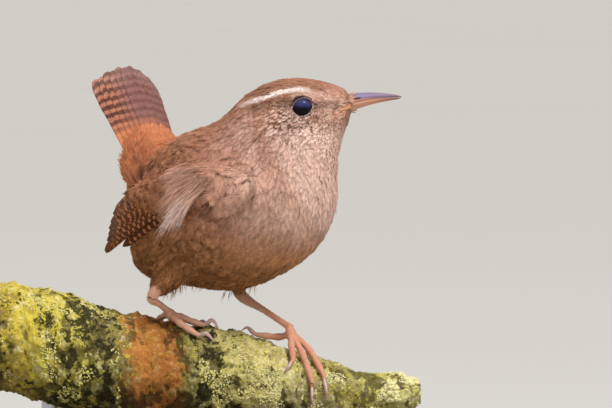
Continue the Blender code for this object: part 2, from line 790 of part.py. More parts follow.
def make_wing(name, side, table):
    """Folded wing: overlapping flight feathers, two tiers of coverts and the arm."""

    def sheet(forward, up, out):
        return body_to_world(
            forward, side * (wing_bed(table, forward, up) + WING_CLEARANCE + out), up
        )

    pieces = []
    for kind, root_a, root_b, tip_a, tip_b, count, width, height, step in WING_TIERS:
        for i in range(count):
            t = i / (count - 1)
            root = [a + (b - a) * t for a, b in zip(root_a, root_b)]
            tip = [a + (b - a) * t for a, b in zip(tip_a, tip_b)]
            level = height + step * i
            pieces.append(vane(kind, sheet, root, tip, width, level, bow=VANE_BOW))
    root, tip, width, thickness = WING_CORE
    core = vane("arm", sheet, root, tip, width, 0.0, thickness=thickness)
    finished(boolean(core, pieces, "UNION"), name, "plumage_wing")


def make_legs(body):
    """Feathered thighs fitted to the body, and the bare shanks that meet them at a mitre."""
    for side, places in LEGS.items():
        hip, heel, foot = [Vector(place) for place in places]
        mitre = (hip - heel).normalized() - (foot - heel).normalized()
        thigh = round_rod(
            "thigh",
            (hip, hip.lerp(heel, 0.5), heel, heel + 0.1 * (heel - hip)),
            THIGH_RADII,
            THIGH_SIDES,
            9,
        )
        boolean(thigh, [grown(copy_of(body, "clear"), GAP)], "DIFFERENCE")
        cut_flat(thigh, shifted(heel, mitre, 0.5 * GAP), -mitre)
        finished(thigh, f"thigh_{side}", "plumage_breast")
        shank = round_rod(
            "tarsus",
            (heel - 0.15 * (foot - heel), heel, heel.lerp(foot, 0.5), foot),
            TARSUS_RADII,
            LIMB_SIDES,
            9,
        )
        cut_flat(shank, shifted(heel, mitre, -0.5 * GAP), mitre)
        finished(shank, f"tarsus_{side}", "leg_skin")


def branch_shape(x):
    """Height of the branch's middle line and its radius at a place along it."""
    stations = np.array(BRANCH_STATIONS)
    i = int(np.clip(np.searchsorted(stations[:, 0], x) - 1, 0, len(stations) - 2))
    t = (x - stations[i, 0]) / (stations[i + 1, 0] - stations[i, 0])
    before = stations[max(i - 1, 0)]
    after = stations[min(i + 2, len(stations) - 1)]
    out = []
    for k in (1, 2):
        a, b, c, d = before[k], stations[i, k], stations[i + 1, k], after[k]
        out.append(float(curve_step(a, b, c, d, t)))
    top, radius = out
    return top - radius, radius


def branch_place(x, turn, lift):
    """A place on the bark, turned in degrees from the top towards -Y."""
    height, radius = branch_shape(x)
    angle = math.radians(turn)
    lump = BRANCH_LUMP * (
        math.sin(0.31 * x + 2.0 * angle) + 0.6 * math.sin(0.83 * x - 3.0 * angle + 1.0)
    )
    size = radius + lump * min(1.0, radius / 9.0) + lift
    sway = BRANCH_SWAY * math.sin(0.045 * x)
    return Vector((x, sway - size * math.sin(angle), height + size * math.cos(angle)))


def make_branch():
    first, last = BRANCH_STATIONS[0][0], BRANCH_STATIONS[-1][0]
    rings = []
    for i in range(BRANCH_RINGS):
        t = i / (BRANCH_RINGS - 1)
        x = first + (last - first) * (1.0 - (1.0 - t) ** 1.15)
        rings.append(
            [branch_place(x, 360.0 * j / BRANCH_SIDES, 0.0) for j in range(BRANCH_SIDES)]
        )
    branch = tube_object("branch", rings)
    holes = []
    for x in ROD_PLACES.values():
        top = rod_top(x) + GAP
        holes.append(turned("hole", x, ((ROD_RADIUS + GAP, 0.0), (ROD_RADIUS + GAP, top))))
    boolean(branch, holes, "DIFFERENCE")
    finished(branch, "perch_branch", "bark", sharp=60.0)


def rod_top(x):
    height, radius = branch_shape(x)
    return height - radius + ROD_DEPTH_IN_BRANCH


def turned(name, x, profile):
    """A turned piece about an upright axis, from radius and height pairs, bottom to top."""
    rings = []
    for radius, height in profile:
        ring = []
        for j in range(ROD_SIDES):
            angle = 2 * math.pi * j / ROD_SIDES
            ring.append((x + radius * math.cos(angle), radius * math.sin(angle), height))
        rings.append(ring)
    return tube_object(name, rings)


def make_stand():
    outline = []
    for corner in range(4):
        angle = 0.5 * math.pi * corner
        sx, sy = ((1, 1), (-1, 1), (-1, -1), (1, -1))[corner]
        centre_x = sx * (0.5 * BASE_LENGTH - BASE_CORNER)
        centre_y = sy * (0.5 * BASE_WIDTH - BASE_CORNER)
        for k in range(BASE_CORNER_STEPS + 1):
            turn = angle + 0.5 * math.pi * k / BASE_CORNER_STEPS
            outline.append(
                (centre_x + BASE_CORNER * math.cos(turn), centre_y + BASE_CORNER * math.sin(turn))
            )
    shaped = bmesh.new()
    low = shaped.faces.new([shaped.verts.new((x, y, 0.0)) for x, y in outline])
    raised = bmesh.ops.extrude_face_region(shaped, geom=[low])
    moved = [v for v in raised["geom"] if isinstance(v, bmesh.types.BMVert)]
    bmesh.ops.translate(shaped, verts=moved, vec=(0.0, 0.0, BASE_HEIGHT))
    bmesh.ops.recalc_face_normals(shaped, faces=shaped.faces)
    rim = [e for e in shaped.edges if all(v.co.z > 0.5 * BASE_HEIGHT for v in e.verts)]
    bmesh.ops.bevel(shaped, geom=rim, offset=BASE_EDGE, segments=2, affect="EDGES", profile=0.5)
    mesh = bpy.data.meshes.new("stand_base")
    shaped.to_mesh(mesh)
    shaped.free()
    base = bpy.data.objects.new("stand_base", mesh)
    bpy.context.scene.collection.objects.link(base)
    finished(base, "stand_base", "stand_wood", sharp=30.0)
    foot = BASE_HEIGHT + GAP
    for name, x in ROD_PLACES.items():
        profile = (
            (ROD_FOOT_RADIUS, foot),
            (ROD_FOOT_RADIUS, foot + 0.6 * ROD_FOOT_HEIGHT),
            (0.7 * ROD_FOOT_RADIUS, foot + ROD_FOOT_HEIGHT),
            (ROD_RADIUS, foot + 1.5 * ROD_FOOT_HEIGHT),
            (ROD_RADIUS, rod_top(x) - ROD_TOP_BEVEL),
            (0.7 * ROD_RADIUS, rod_top(x)),
        )
        finished(turned(name, x, profile), name, "stand_steel")


def make_feet():
    """Each foot's pad and four toes as one piece, and a separate claw on each toe."""
    for side, toes in TOES.items():
        hip, heel, end = LEGS[side]
        way = (Vector(end) - Vector(heel)).normalized()
        joint = Vector(end) + GAP * way
        first = [branch_place(*places[0]) for places, claw in toes.values()]
        low = sum(first, Vector()) / len(first)
        line = (joint, joint.lerp(low, 0.35), joint.lerp(low, 0.62))
        pad = round_rod("pad", line, PAD_RADII, LIMB_SIDES, 5)
        cut_flat(pad, tuple(joint), tuple(-way))
        pieces = []
        for kind, (places, claw) in toes.items():
            line = [joint.lerp(low, 0.3)]
            line += [branch_place(x, turn, TOE_LIFT + rise) for x, turn, rise in places]
            tip = branch_place(*claw[0][:2], CLAW_LIFTS[0] + 0.4 * claw[0][2])
            tip = line[-1].lerp(tip, 0.35)
            line.append(tip)
            pieces.append(round_rod("toe", line, TOE_RADII, LIMB_SIDES, 8))
            begin = tip + GAP * (tip - line[-2]).normalized()
            bend = branch_place(*claw[0][:2], CLAW_LIFTS[1] + claw[0][2])
            point = branch_place(*claw[1][:2], CLAW_LIFTS[2] + claw[1][2])
            horn = round_rod("claw", (begin, bend, point), CLAW_RADII, CLAW_SIDES, 6)
            cut_flat(horn, tuple(begin), tuple((line[-2] - tip).normalized()))
            finished(horn, f"claw_{side}_{kind}", "claw_horn")
        finished(boolean(pad, pieces, "UNION"), f"foot_{side}", "leg_skin")


def main():
    for old in list(bpy.data.objects):
        bpy.data.objects.remove(old)
    body = make_head_and_body()
    make_legs(body)
    make_tail(body)
    finished(body, "torso", "plumage_breast")
    make_bill()
    table = side_table()
    for name, side in (("wing_right", -1.0), ("wing_left", 1.0)):
        make_wing(name, side, table)
    make_branch()
    make_stand()
    make_feet()


main()
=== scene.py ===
"""A life-size wren on a short cut length of branch, dressed over the packed solids.

Places in the functions are in millimetres in the model's own frame: +X along the branch
towards the bill, -Y on the bird's right, +Z up. Meshes are written in metres.
"""

import math

import bmesh
import bpy
import numpy as np
from mathutils import Matrix, Vector
from mathutils.bvhtree import BVHTree
from mathutils.kdtree import KDTree


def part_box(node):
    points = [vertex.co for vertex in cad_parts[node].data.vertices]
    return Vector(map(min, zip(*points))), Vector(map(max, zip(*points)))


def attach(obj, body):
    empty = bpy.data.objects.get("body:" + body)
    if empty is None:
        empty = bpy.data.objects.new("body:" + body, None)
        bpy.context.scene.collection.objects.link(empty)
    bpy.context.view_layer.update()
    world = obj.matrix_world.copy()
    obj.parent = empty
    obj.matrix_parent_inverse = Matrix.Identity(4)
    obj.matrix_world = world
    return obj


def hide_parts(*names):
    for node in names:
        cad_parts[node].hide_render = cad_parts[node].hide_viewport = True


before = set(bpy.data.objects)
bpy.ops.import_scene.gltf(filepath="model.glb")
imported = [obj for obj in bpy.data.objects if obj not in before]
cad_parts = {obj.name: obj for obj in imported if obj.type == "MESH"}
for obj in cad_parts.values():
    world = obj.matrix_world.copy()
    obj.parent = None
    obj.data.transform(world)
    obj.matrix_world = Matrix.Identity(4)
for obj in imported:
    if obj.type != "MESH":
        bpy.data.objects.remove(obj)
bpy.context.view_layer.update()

bl_info = {
    "name": "Wren on a branch",
    "version": (1, 0, 0),
    "blender": (4, 5, 0),
    "location": "3D View > Sidebar > Wren",
    "description": "Skin, feathers, eyes, bill, feet, perch and stand of a life-size wren",
    "category": "Object",
}

MILLIMETRE = 0.001

# Frames of the body and of the head: centre and turn about +Z
BODY_CENTRE = np.array((7.0, 0.0, 70.0))
BODY_YAW = -27.0
HEAD_CENTRE = np.array((20.6, -6.0, 92.9))
HEAD_YAW = -7.0

# Middle line of the body from the rump to the face, which the coat lies along
SPINE = (
    (-7.0, 7.1, 68.0),
    (5.0, 1.0, 70.5),
    (13.0, -3.1, 78.5),
    (18.0, -5.2, 87.0),
    (22.5, -6.2, 92.0),
    (29.0, -7.0, 94.0),
)

EYE_RADIUS = 2.75
BILL_ROOT = (13.9, 1.75)
BILL_LENGTH = 12.6
BILL_RISE = 7.5

TAIL_ROOT = np.array((-8.0, 7.6, 74.6))
TAIL_YAW = -45.0
TAIL_LEAN = math.radians(28.0)

WING_BED = (31.5, 18.6, 30.0)

LEGS = {
    "right": ((-5.5, -5.6, 58.4), (-12.4, -12.0, 48.9), (-8.7, -3.2, 45.2)),
    "left": ((5.5, 4.5, 59.0), (8.6, 7.4, 48.4), (20.2, -3.2, 41.4)),
}
# Each toe: places along the branch, turn round it in degrees from the top towards -Y and
# lift off the bark, then the claw's bend and point in the same way
TOES = {
    "right": {
        "hind": (((-9.6, -14, 0.1), (-11.6, -34, 0.0)), ((-12.6, -54, 0.7), (-12.4, -66, 0.2))),
        "inner": (((-5.6, -4, 0.5), (-2.6, -16, 0.0)), ((-0.4, -22, 1.2), (0.9, -25, 0.2))),
        "middle": (((-5.0, 14, 0.8), (-0.9, 18, 0.2)), ((1.9, 19, 1.7), (3.6, 22, 0.2))),
        "outer": (((-5.8, 26, 0.6), (-2.0, 38, 0.0)), ((0.6, 41, 1.5), (2.5, 45, 0.2))),
    },
    "left": {
        "hind": (((17.6, 4, 0.9), (12.6, -1, 0.1)), ((10.0, -3, 1.1), (8.6, -5, 0.2))),
        "inner": (((20.6, 30, 1.6), (21.0, 47, 0.2)), ((19.9, 62, 1.1), (18.4, 70, 0.2))),
        "middle": (((23.4, 38, 0.6), (25.4, 70, 0.1)), ((25.5, 96, 1.0), (25.8, 118, 0.2))),
        "outer": (((24.6, 24, 0.9), (28.0, 55, 0.1)), ((28.9, 84, 1.0), (28.6, 104, 0.2))),
    },
}

# Branch: place along X, height of its top, radius
BRANCH_STATIONS = (
    (-51.6, 52.0, 12.6),
    (-44.0, 51.2, 13.1),
    (-36.5, 49.9, 13.5),
    (-27.8, 47.2, 13.0),
    (-18.8, 44.4, 12.5),
    (-8.0, 42.5, 12.0),
    (5.4, 40.2, 11.0),
    (15.0, 37.7, 9.9),
    (26.4, 34.1, 8.5),
    (36.0, 31.3, 6.6),
    (42.5, 29.9, 5.0),
    (47.5, 29.9, 4.6),
    (51.4, 28.2, 2.6),
)
BRANCH_LUMP = 0.35
BRANCH_SWAY = 0.8

FLESH = ("head", "neck", "torso", "thigh_right", "thigh_left")


# Frames and curves


def axes_of(yaw):
    """Rows forward, left and up of a frame turned about +Z."""
    turn = math.radians(yaw)
    return np.array(
        (
            (math.cos(turn), math.sin(turn), 0.0),
            (-math.sin(turn), math.cos(turn), 0.0),
            (0.0, 0.0, 1.0),
        )
    )


BODY_AXES = axes_of(BODY_YAW)
HEAD_AXES = axes_of(HEAD_YAW)


def in_body(points):
    return (np.asarray(points) - BODY_CENTRE) @ BODY_AXES.T


def in_head(points):
    return (np.asarray(points) - HEAD_CENTRE) @ HEAD_AXES.T


def from_body(local):
    return BODY_CENTRE + np.asarray(local, dtype=float) @ BODY_AXES


def from_head(local):
    return HEAD_CENTRE + np.asarray(local, dtype=float) @ HEAD_AXES


def unit(vectors):
    return vectors / np.maximum(np.linalg.norm(vectors, axis=-1, keepdims=True), 1e-9)


def smooth_step(low, high, values):
    t = np.clip((values - low) / (high - low), 0.0, 1.0)
    return t * t * (3.0 - 2.0 * t)


def curve_step(a, b, c, d, t):
    """A place between b and c on the smooth curve through four points."""
    bend = (2 * a - 5 * b + 4 * c - d) * t**2 + (3 * b - a - 3 * c + d) * t**3
    return 0.5 * (2 * b + (c - a) * t + bend)


def smooth_curve(points, count):
    """Evenly spread places and directions on a smooth curve through the points."""
    points = np.array(points, dtype=float)
    ends = np.vstack((2 * points[0] - points[1], points, 2 * points[-1] - points[-2]))
    dense = []
    for i in range(len(points) - 1):
        for t in np.linspace(0.0, 1.0, 16, endpoint=False):
            dense.append(curve_step(*ends[i : i + 4], t))
    dense.append(points[-1])
    dense = np.array(dense)
    along = np.concatenate(([0.0], np.cumsum(np.linalg.norm(np.diff(dense, axis=0), axis=1))))
    wanted = np.linspace(0.0, along[-1], count)
    places = np.stack([np.interp(wanted, along, dense[:, k]) for k in range(3)], axis=1)
    return places, unit(np.gradient(places, axis=0))


SPINE_PLACES, SPINE_WAYS = smooth_curve(SPINE, 72)
TAIL_BACK = np.array((-math.sin(TAIL_LEAN), 0.0, math.cos(TAIL_LEAN))) @ axes_of(TAIL_YAW)
TAIL_ACROSS = axes_of(TAIL_YAW)[1]
TAIL_ABOVE = np.cross(TAIL_ACROSS, TAIL_BACK)
BILL_FORWARD = np.array(
    (math.cos(math.radians(BILL_RISE)), 0.0, math.sin(math.radians(BILL_RISE)))
) @ HEAD_AXES
BILL_SIDE = HEAD_AXES[1]
BILL_UP = np.cross(BILL_FORWARD, BILL_SIDE)
BILL_BASE = from_head((BILL_ROOT[0], 0.0, BILL_ROOT[1]))


def node_centre(name):
    low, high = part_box(name)
    return 0.5 * (np.array(low) + np.array(high)) / MILLIMETRE


EYES = {side: node_centre(f"eye_{side}") for side in ("right", "left")}


def lattice_noise(points, size, seed=0):
    """Smooth noise from 0 to 1, whose bumps are about as wide as size."""
    scaled = np.asarray(points, dtype=float) / size + 37.7 + 11.3 * seed
    base = np.floor(scaled).astype(np.int64)
    part = scaled - base
    part = part * part * (3.0 - 2.0 * part)
    total = np.zeros(scaled.shape[:-1])
    for corner in range(8):
        step = np.array((corner & 1, corner >> 1 & 1, corner >> 2 & 1))
        cell = base + step
        mixed = cell[..., 0] * 73856093 ^ cell[..., 1] * 19349663 ^ cell[..., 2] * 83492791
        mixed = (mixed ^ (mixed >> 13)) * 1274126177 & 0x7FFFFFFF
        weight = np.prod(np.where(step == 1, part, 1.0 - part), axis=-1)
        total += weight * ((mixed >> 7) % 10007) / 10007.0
    return total


def branch_shape(x):
    """Height of the branch's middle line and its radius at places along it."""
    stations = np.array(BRANCH_STATIONS)
    x = np.asarray(x, dtype=float)
    i = np.clip(np.searchsorted(stations[:, 0], x) - 1, 0, len(stations) - 2)
    t = (x - stations[i, 0]) / (stations[i + 1, 0] - stations[i, 0])
    before, after = np.maximum(i - 1, 0), np.minimum(i + 2, len(stations) - 1)
    top, radius = [
        curve_step(stations[before, k], stations[i, k], stations[i + 1, k], stations[after, k], t)
        for k in (1, 2)
    ]
    return top - radius, radius


def branch_place(x, turn, lift):
    """Places on the bark, turned in degrees from the top towards -Y."""
    height, radius = branch_shape(x)
    angle = np.radians(turn)
    lump = np.sin(0.31 * x + 2.0 * angle) + 0.6 * np.sin(0.83 * x - 3.0 * angle + 1.0)
    size = radius + BRANCH_LUMP * lump * np.minimum(1.0, radius / 9.0) + lift
    sway = BRANCH_SWAY * np.sin(0.045 * x)
    return np.stack(
        (x + 0.0 * size, sway - size * np.sin(angle), height + size * np.cos(angle)), axis=-1
    )


# Materials


def linear(red, green, blue):
    """A colour as a picture shows it, in 0 to 255, made linear."""
    shares = [c / 255.0 for c in (red, green, blue)]
    return tuple(c / 12.92 if c <= 0.04045 else ((c + 0.055) / 1.055) ** 2.4 for c in shares)


class Wire:
    """A node's output, on which Python's operators add Math nodes."""

    def __init__(self, finish, socket):
        self.finish = finish
        self.socket = socket

    def maths(self, operation, first, second):
        return self.finish.node("ShaderNodeMath", {"operation": operation}, {0: first, 1: second})

    def __add__(self, other):
        return self.maths("ADD", self, other)

    __radd__ = __add__

    def __sub__(self, other):
        return self.maths("SUBTRACT", self, other)

    def __rsub__(self, other):
        return self.maths("SUBTRACT", other, self)

    def __mul__(self, other):
        return self.maths("MULTIPLY", self, other)

    __rmul__ = __mul__

    def sine(self):
        return self.maths("SINE", self, 0.0)

    def size(self):
        return self.maths("ABSOLUTE", self, 0.0)


class Finish:
    """A material whose nodes are added one by one."""

    def __init__(self, name, **constants):
        self.material = bpy.data.materials.new(name)
        self.material.use_nodes = True
        self.tree = self.material.node_tree
        self.shader = self.tree.nodes["Principled BSDF"]
        for key, value in constants.items():
            self.socket(key).default_value = value

    def socket(self, key):
        """The shader's input of this name, written with _ for spaces."""
        wanted = key.replace("_", " ").lower()
        return next(socket for socket in self.shader.inputs if socket.name.lower() == wanted)

    def node(self, kind, settings=None, inputs=None, output=0):
        made = self.tree.nodes.new(kind)
        for key, value in (settings or {}).items():
            if key == "stops":
                self.set_stops(made.color_ramp, value)
            else:
                setattr(made, key, value)
        for key, value in (inputs or {}).items():
            if isinstance(value, Wire):
                self.tree.links.new(value.socket, made.inputs[key])
            else:
                made.inputs[key].default_value = value
        return Wire(self, made.outputs[output])

    @staticmethod
    def set_stops(ramp, stops):
        ramp.elements.remove(ramp.elements[1])
        for n, (place, colour) in enumerate(stops):
            element = ramp.elements.new(place) if n else ramp.elements[0]
            element.position = place
            element.color = (*colour, 1.0) if len(colour) == 3 else colour

    def ramp(self, value, stops):
        """Colours, or greys given as single numbers, along a value."""
        full = [(p, c if isinstance(c, tuple) else (c, c, c)) for p, c in stops]
        return self.node("ShaderNodeValToRGB", {"stops": full}, {0: value})

    def steps(self, value, low, high):
        """From 0 to 1 as the value goes from low to high."""
        settings = {"interpolation_type": "SMOOTHSTEP"}
        return self.node("ShaderNodeMapRange", settings, {0: value, 1: low, 2: high})

    def mix(self, factor, first, second, blend="MIX"):
        settings = {"data_type": "RGBA", "blend_type": blend, "clamp_factor": True}
        colours = [(*c, 1.0) if isinstance(c, tuple) and len(c) == 3 else c for c in (first, second)]
        return self.node("ShaderNodeMix", settings, {0: factor, 6: colours[0], 7: colours[1]}, 2)

    def places(self, scale=(1.0, 1.0, 1.0), turn=(0.0, 0.0, 0.0), shift=(0.0, 0.0, 0.0)):
        """Object coordinates in millimetres, stretched and turned."""
        source = self.node("ShaderNodeTexCoord", output=3)
        scaled = tuple(s / MILLIMETRE for s in scale)
        settings = {"vector_type": "POINT"}
        return self.node(
            "ShaderNodeMapping", settings, {0: source, 1: shift, 2: turn, 3: scaled}
        )

    def noise(self, vector, size, detail=2.0, rough=0.5, twist=0.0):
        inputs = {"Vector": vector, "Scale": 1.0 / size, "Detail": detail}
        inputs.update({"Roughness": rough, "Distortion": twist})
        return self.node("ShaderNodeTexNoise", {}, inputs)

    def cells(self, vector, size, feature="F1", output=0):
        inputs = {"Vector": vector, "Scale": 1.0 / size}
        return self.node("ShaderNodeTexVoronoi", {"feature": feature}, inputs, output)

    def attribute(self, name, output="Color"):
        return self.node("ShaderNodeAttribute", {"attribute_name": name}, {}, output)

    def parts(self, colour):
        """The three numbers of a colour or vector."""
        made = self.tree.nodes.new("ShaderNodeSeparateColor")
        self.tree.links.new(colour.socket, made.inputs[0])
        return [Wire(self, made.outputs[k]) for k in range(3)]

    def bump(self, height, distance, strength=1.0, under=None):
        inputs = {"Height": height, "Distance": distance * MILLIMETRE, "Strength": strength}
        if under is not None:
            inputs["Normal"] = under
        return self.node("ShaderNodeBump", {}, inputs)

    def feed(self, **wires):
        """Joins wires to the shader's sockets."""
        for key, wire in wires.items():
            self.tree.links.new(wire.socket, self.socket(key))
        return self.material


def dress(piece, material):
    piece.data.materials.clear()
    piece.data.materials.append(material)
    return piece


# Meshes


def nothing_selected():
    if bpy.context.object is not None and bpy.context.object.mode != "OBJECT":
        bpy.ops.object.mode_set(mode="OBJECT")
    bpy.ops.object.select_all(action="DESELECT")


def only(piece):
    """Makes a piece the only selected one."""
    nothing_selected()
    piece.select_set(True)
    bpy.context.view_layer.objects.active = piece
    return piece


def with_modifier(piece, kind, **settings):
    """Adds a modifier and applies it."""
    only(piece)
    step = piece.modifiers.new(kind.lower(), kind)
    for key, value in settings.items():
        setattr(step, key, value)
    bpy.ops.object.modifier_apply(modifier=step.name)
    return piece


def faces_out():
    """Turns the faces of the piece in edit mode outward and leaves edit mode."""
    bpy.ops.mesh.select_all(action="SELECT")
    bpy.ops.mesh.normals_make_consistent(inside=False)
    bpy.ops.object.mode_set(mode="OBJECT")


def twins(names, label):
    """Copies of packed nodes, to build a surface from."""
    pieces = []
    for name in names:
        twin = bpy.data.objects.new(label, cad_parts[name].data.copy())
        bpy.context.scene.collection.objects.link(twin)
        pieces.append(twin)
    return pieces


def set_places(mesh, points):
    mesh.vertices.foreach_set("co", (points * MILLIMETRE).astype(np.float32).ravel())


def set_marks(mesh, key, values):
    """Four numbers for each vertex, as a colour attribute."""
    layer = mesh.attributes.new(key, "FLOAT_COLOR", "POINT")
    layer.data.foreach_set("color", values.astype(np.float32).ravel())


def ball_shape():
    """Points and triangles of a small ball."""
    ball = bmesh.new()
    bmesh.ops.create_icosphere(ball, subdivisions=1, radius=1.0)
    points = np.array([v.co for v in ball.verts])
    corners = np.array([[v.index for v in f.verts] for f in ball.faces])
    ball.free()
    return points, corners


def array_mesh(name, points, triangles, marks=None, normals=None, patch=None):
    """A joined mesh from arrays, with its colour attributes, normals and bake map."""
    mesh = bpy.data.meshes.new(name)
    mesh.vertices.add(len(points))
    set_places(mesh, points)
    corners = triangles.astype(np.int32).ravel()
    mesh.loops.add(len(corners))
    mesh.loops.foreach_set("vertex_index", corners)
    mesh.polygons.add(len(triangles))
    starts = np.arange(0, len(corners), 3, dtype=np.int32)
    mesh.polygons.foreach_set("loop_start", starts)
    mesh.update(calc_edges=True)
    mesh.polygons.foreach_set("use_smooth", np.ones(len(triangles), dtype=bool))
    for key, values in (marks or {}).items():
        set_marks(mesh, key, values)
    if patch is not None:
        layer = mesh.uv_layers.new(name="OFBake")
        layer.data.foreach_set("uv", patch[corners].astype(np.float32).ravel())
    if normals is not None:
        mesh.normals_split_custom_set_from_vertices(normals.astype(np.float32))
    piece = bpy.data.objects.new(name, mesh)
    bpy.context.scene.collection.objects.link(piece)
    return piece


def grid_triangles(rows, columns, around=False):
    """Triangles of a grid of points, closed round its columns if wanted."""
    faces = []
    last = columns if around else columns - 1
    for i in range(rows - 1):
        for j in range(last):
            k = (j + 1) % columns
            a, b = i * columns + j, i * columns + k
            c, d = (i + 1) * columns + k, (i + 1) * columns + j
            faces += [(a, b, c), (a, c, d)]
    return np.array(faces)


def matched(face, ring):
    """A face's vertices in the order of the ring that they lie on."""
    rim = [loop.vert for loop in face.loops]
    places = np.array([vertex.co for vertex in rim]) / MILLIMETRE
    best = None
    for order in (rim, rim[::-1]):
        here = places if order is rim else places[::-1]
        for shift in range(len(rim)):
            gap = np.abs(np.roll(here, -shift, axis=0) - ring).sum()
            if best is None or gap < best[0]:
                best = (gap, order[shift:] + order[:shift])
    return best[1]


def extruded(name, rings):
    """A closed piece extruded ring by ring from a filled circle."""
    nothing_selected()
    bpy.ops.mesh.primitive_circle_add(vertices=len(rings[0]), fill_type="NGON")
    piece = bpy.context.object
    piece.name = piece.data.name = name
    bpy.ops.object.mode_set(mode="EDIT")
    bpy.ops.mesh.select_all(action="SELECT")
    shaped = bmesh.from_edit_mesh(piece.data)
    rim = [loop.vert for loop in next(iter(shaped.faces)).loops]
    for vertex, place in zip(rim, rings[0]):
        vertex.co = Vector(place) * MILLIMETRE
    for last, ring in zip(rings, rings[1:]):
        bpy.ops.mesh.extrude_region()
        shaped = bmesh.from_edit_mesh(piece.data)
        end = next(face for face in shaped.faces if face.select)
        for vertex, place in zip(matched(end, last), ring):
            vertex.co = Vector(place) * MILLIMETRE
    bmesh.update_edit_mesh(piece.data)
    faces_out()
    bpy.ops.object.shade_smooth()
    return piece


def joined(pieces, name):
    nothing_selected()
    for piece in pieces:
        piece.select_set(True)
    bpy.context.view_layer.objects.active = pieces[0]
    if len(pieces) > 1:
        bpy.ops.object.join()
    pieces[0].name = pieces[0].data.name = name
    return pieces[0]


def tube_rings(points, radii, sides, hint=(0.0, 0.0, 1.0), flat=1.0, count=None):
    """Rings along a smooth curve, whose radius follows a list of radii."""
    count = count or 4 * len(points)
    places, ways = smooth_curve(points, count)
    share = np.linspace(0, 1, count)
    if callable(radii):
        sizes = radii(share)
    else:
        sizes = np.interp(share, np.linspace(0, 1, len(radii)), radii)
    rings = []
    angles = 2 * math.pi * np.arange(sides) / sides
    for place, way, size in zip(places, ways, sizes):
        up = unit(np.array(hint) - np.dot(hint, way) * way)
        side = np.cross(way, up)
        ring = place + size * (
            flat * np.cos(angles)[:, None] * side + np.sin(angles)[:, None] * up
        )
        rings.append(ring)
    return rings


def surface_of(piece):
    """A search tree over a piece's surface, in millimetres."""
    mesh = piece.data
    places = np.empty(len(mesh.vertices) * 3)
    mesh.vertices.foreach_get("co", places)
    faces = [tuple(face.vertices) for face in mesh.polygons]
    return BVHTree.FromPolygons((places.reshape(-1, 3) / MILLIMETRE).tolist(), faces)


def nearest(tree, points):
    """Nearest places on a surface, and the outward normals there."""
    places, normals = np.empty_like(points), np.empty_like(points)
    for i, point in enumerate(points):
        place, normal, _, _ = tree.find_nearest(point)
        places[i], normals[i] = place, normal
    return places, normals


# The coat's lie, sizes and markings


def spine_near(points):
    """Index of the spine's nearest sample for each point."""
    out = np.empty(len(points), dtype=int)
    for start in range(0, len(points), 20000):
        part = points[start : start + 20000]
        gaps = ((part[:, None, :] - SPINE_PLACES[None, :, :]) ** 2).sum(axis=2)
        out[start : start + 20000] = gaps.argmin(axis=1)
    return out


def lie(points, normals):
    """Directions in which the coat lies on the skin."""
    way = -SPINE_WAYS[spine_near(points)]
    local = in_body(points)
    droop = 0.45 * smooth_step(4.0, 12.0, np.abs(local[:, 1])) * smooth_step(16.0, 4.0, local[:, 2])
    way = way + droop[:, None] * np.array((0.0, 0.0, -1.0))
    tail = TAIL_ROOT + 13.0 * TAIL_BACK - points
    near_tail = smooth_step(25.0, 12.0, np.linalg.norm(points - TAIL_ROOT - 5.0 * TAIL_BACK, axis=1))
    way = way + (2.6 * near_tail)[:, None] * unit(tail)
    for eye in EYES.values():
        away = points - eye
        reach = np.linalg.norm(away, axis=1)
        way = way + (0.9 * smooth_step(6.5, 3.0, reach))[:, None] * unit(away)
    for hip, heel, _ in LEGS.values():
        hip, heel = np.array(hip), np.array(heel)
        down = unit(heel - hip)
        along = np.clip((points - hip) @ down, 0.0, np.linalg.norm(heel - hip))
        gap = np.linalg.norm(points - hip - along[:, None] * down, axis=1)
        share = smooth_step(6.2, 4.0, gap) * smooth_step(0.0, 5.0, along)
        way = way + (3.0 * share)[:, None] * down
    way = way - (way * normals).sum(axis=1)[:, None] * normals
    return unit(way)


def plume_length(points):
    """Length of the small feathers by their distance from the bill."""
    reach = np.linalg.norm(points - BILL_BASE, axis=1)
    length = np.interp(reach, (2, 6, 12, 20, 32, 46, 64), (1.0, 1.5, 2.1, 3.0, 4.3, 5.2, 6.0))
    for eye in EYES.values():
        ring = np.linalg.norm(points - eye, axis=1)
        length = np.minimum(length, np.interp(ring, (2.9, 4.2, 7.0, 9.0), (0.75, 1.1, 2.2, 9.0)))
    for _, heel, _ in LEGS.values():
        low = np.linalg.norm(points - np.array(heel), axis=1)
        length = np.minimum(length, np.interp(low, (1.5, 6.0, 12.0), (1.4, 2.8, 9.0)))
    return length


def coat_depth(points):
    """How far the skin lies below the solids' surface."""
    reach = np.linalg.norm(points - BILL_BASE, axis=1)
    depth = np.interp(reach, (1, 6, 16, 34), (0.25, 0.45, 0.75, 1.2))
    for _, heel, _ in LEGS.values():
        low = np.linalg.norm(points - np.array(heel), axis=1)
        depth = np.minimum(depth, np.interp(low, (1.0, 8.0, 14.0), (0.15, 0.7, 1.2)))
    return depth


def line_share(across, up, line, width):
    """How near places are to a line drawn on the head's side, from 1 on it to 0."""
    line = np.array(line, dtype=float)
    best = np.full(len(across), 1e9)
    for (a, b), (c, d) in zip(line[:-1], line[1:]):
        length = (c - a) ** 2 + (d - b) ** 2
        t = np.clip(((across - a) * (c - a) + (up - b) * (d - b)) / length, 0.0, 1.0)
        best = np.minimum(best, np.hypot(across - a - t * (c - a), up - b - t * (d - b)))
    return smooth_step(1.35 * width, 0.55 * width, best)


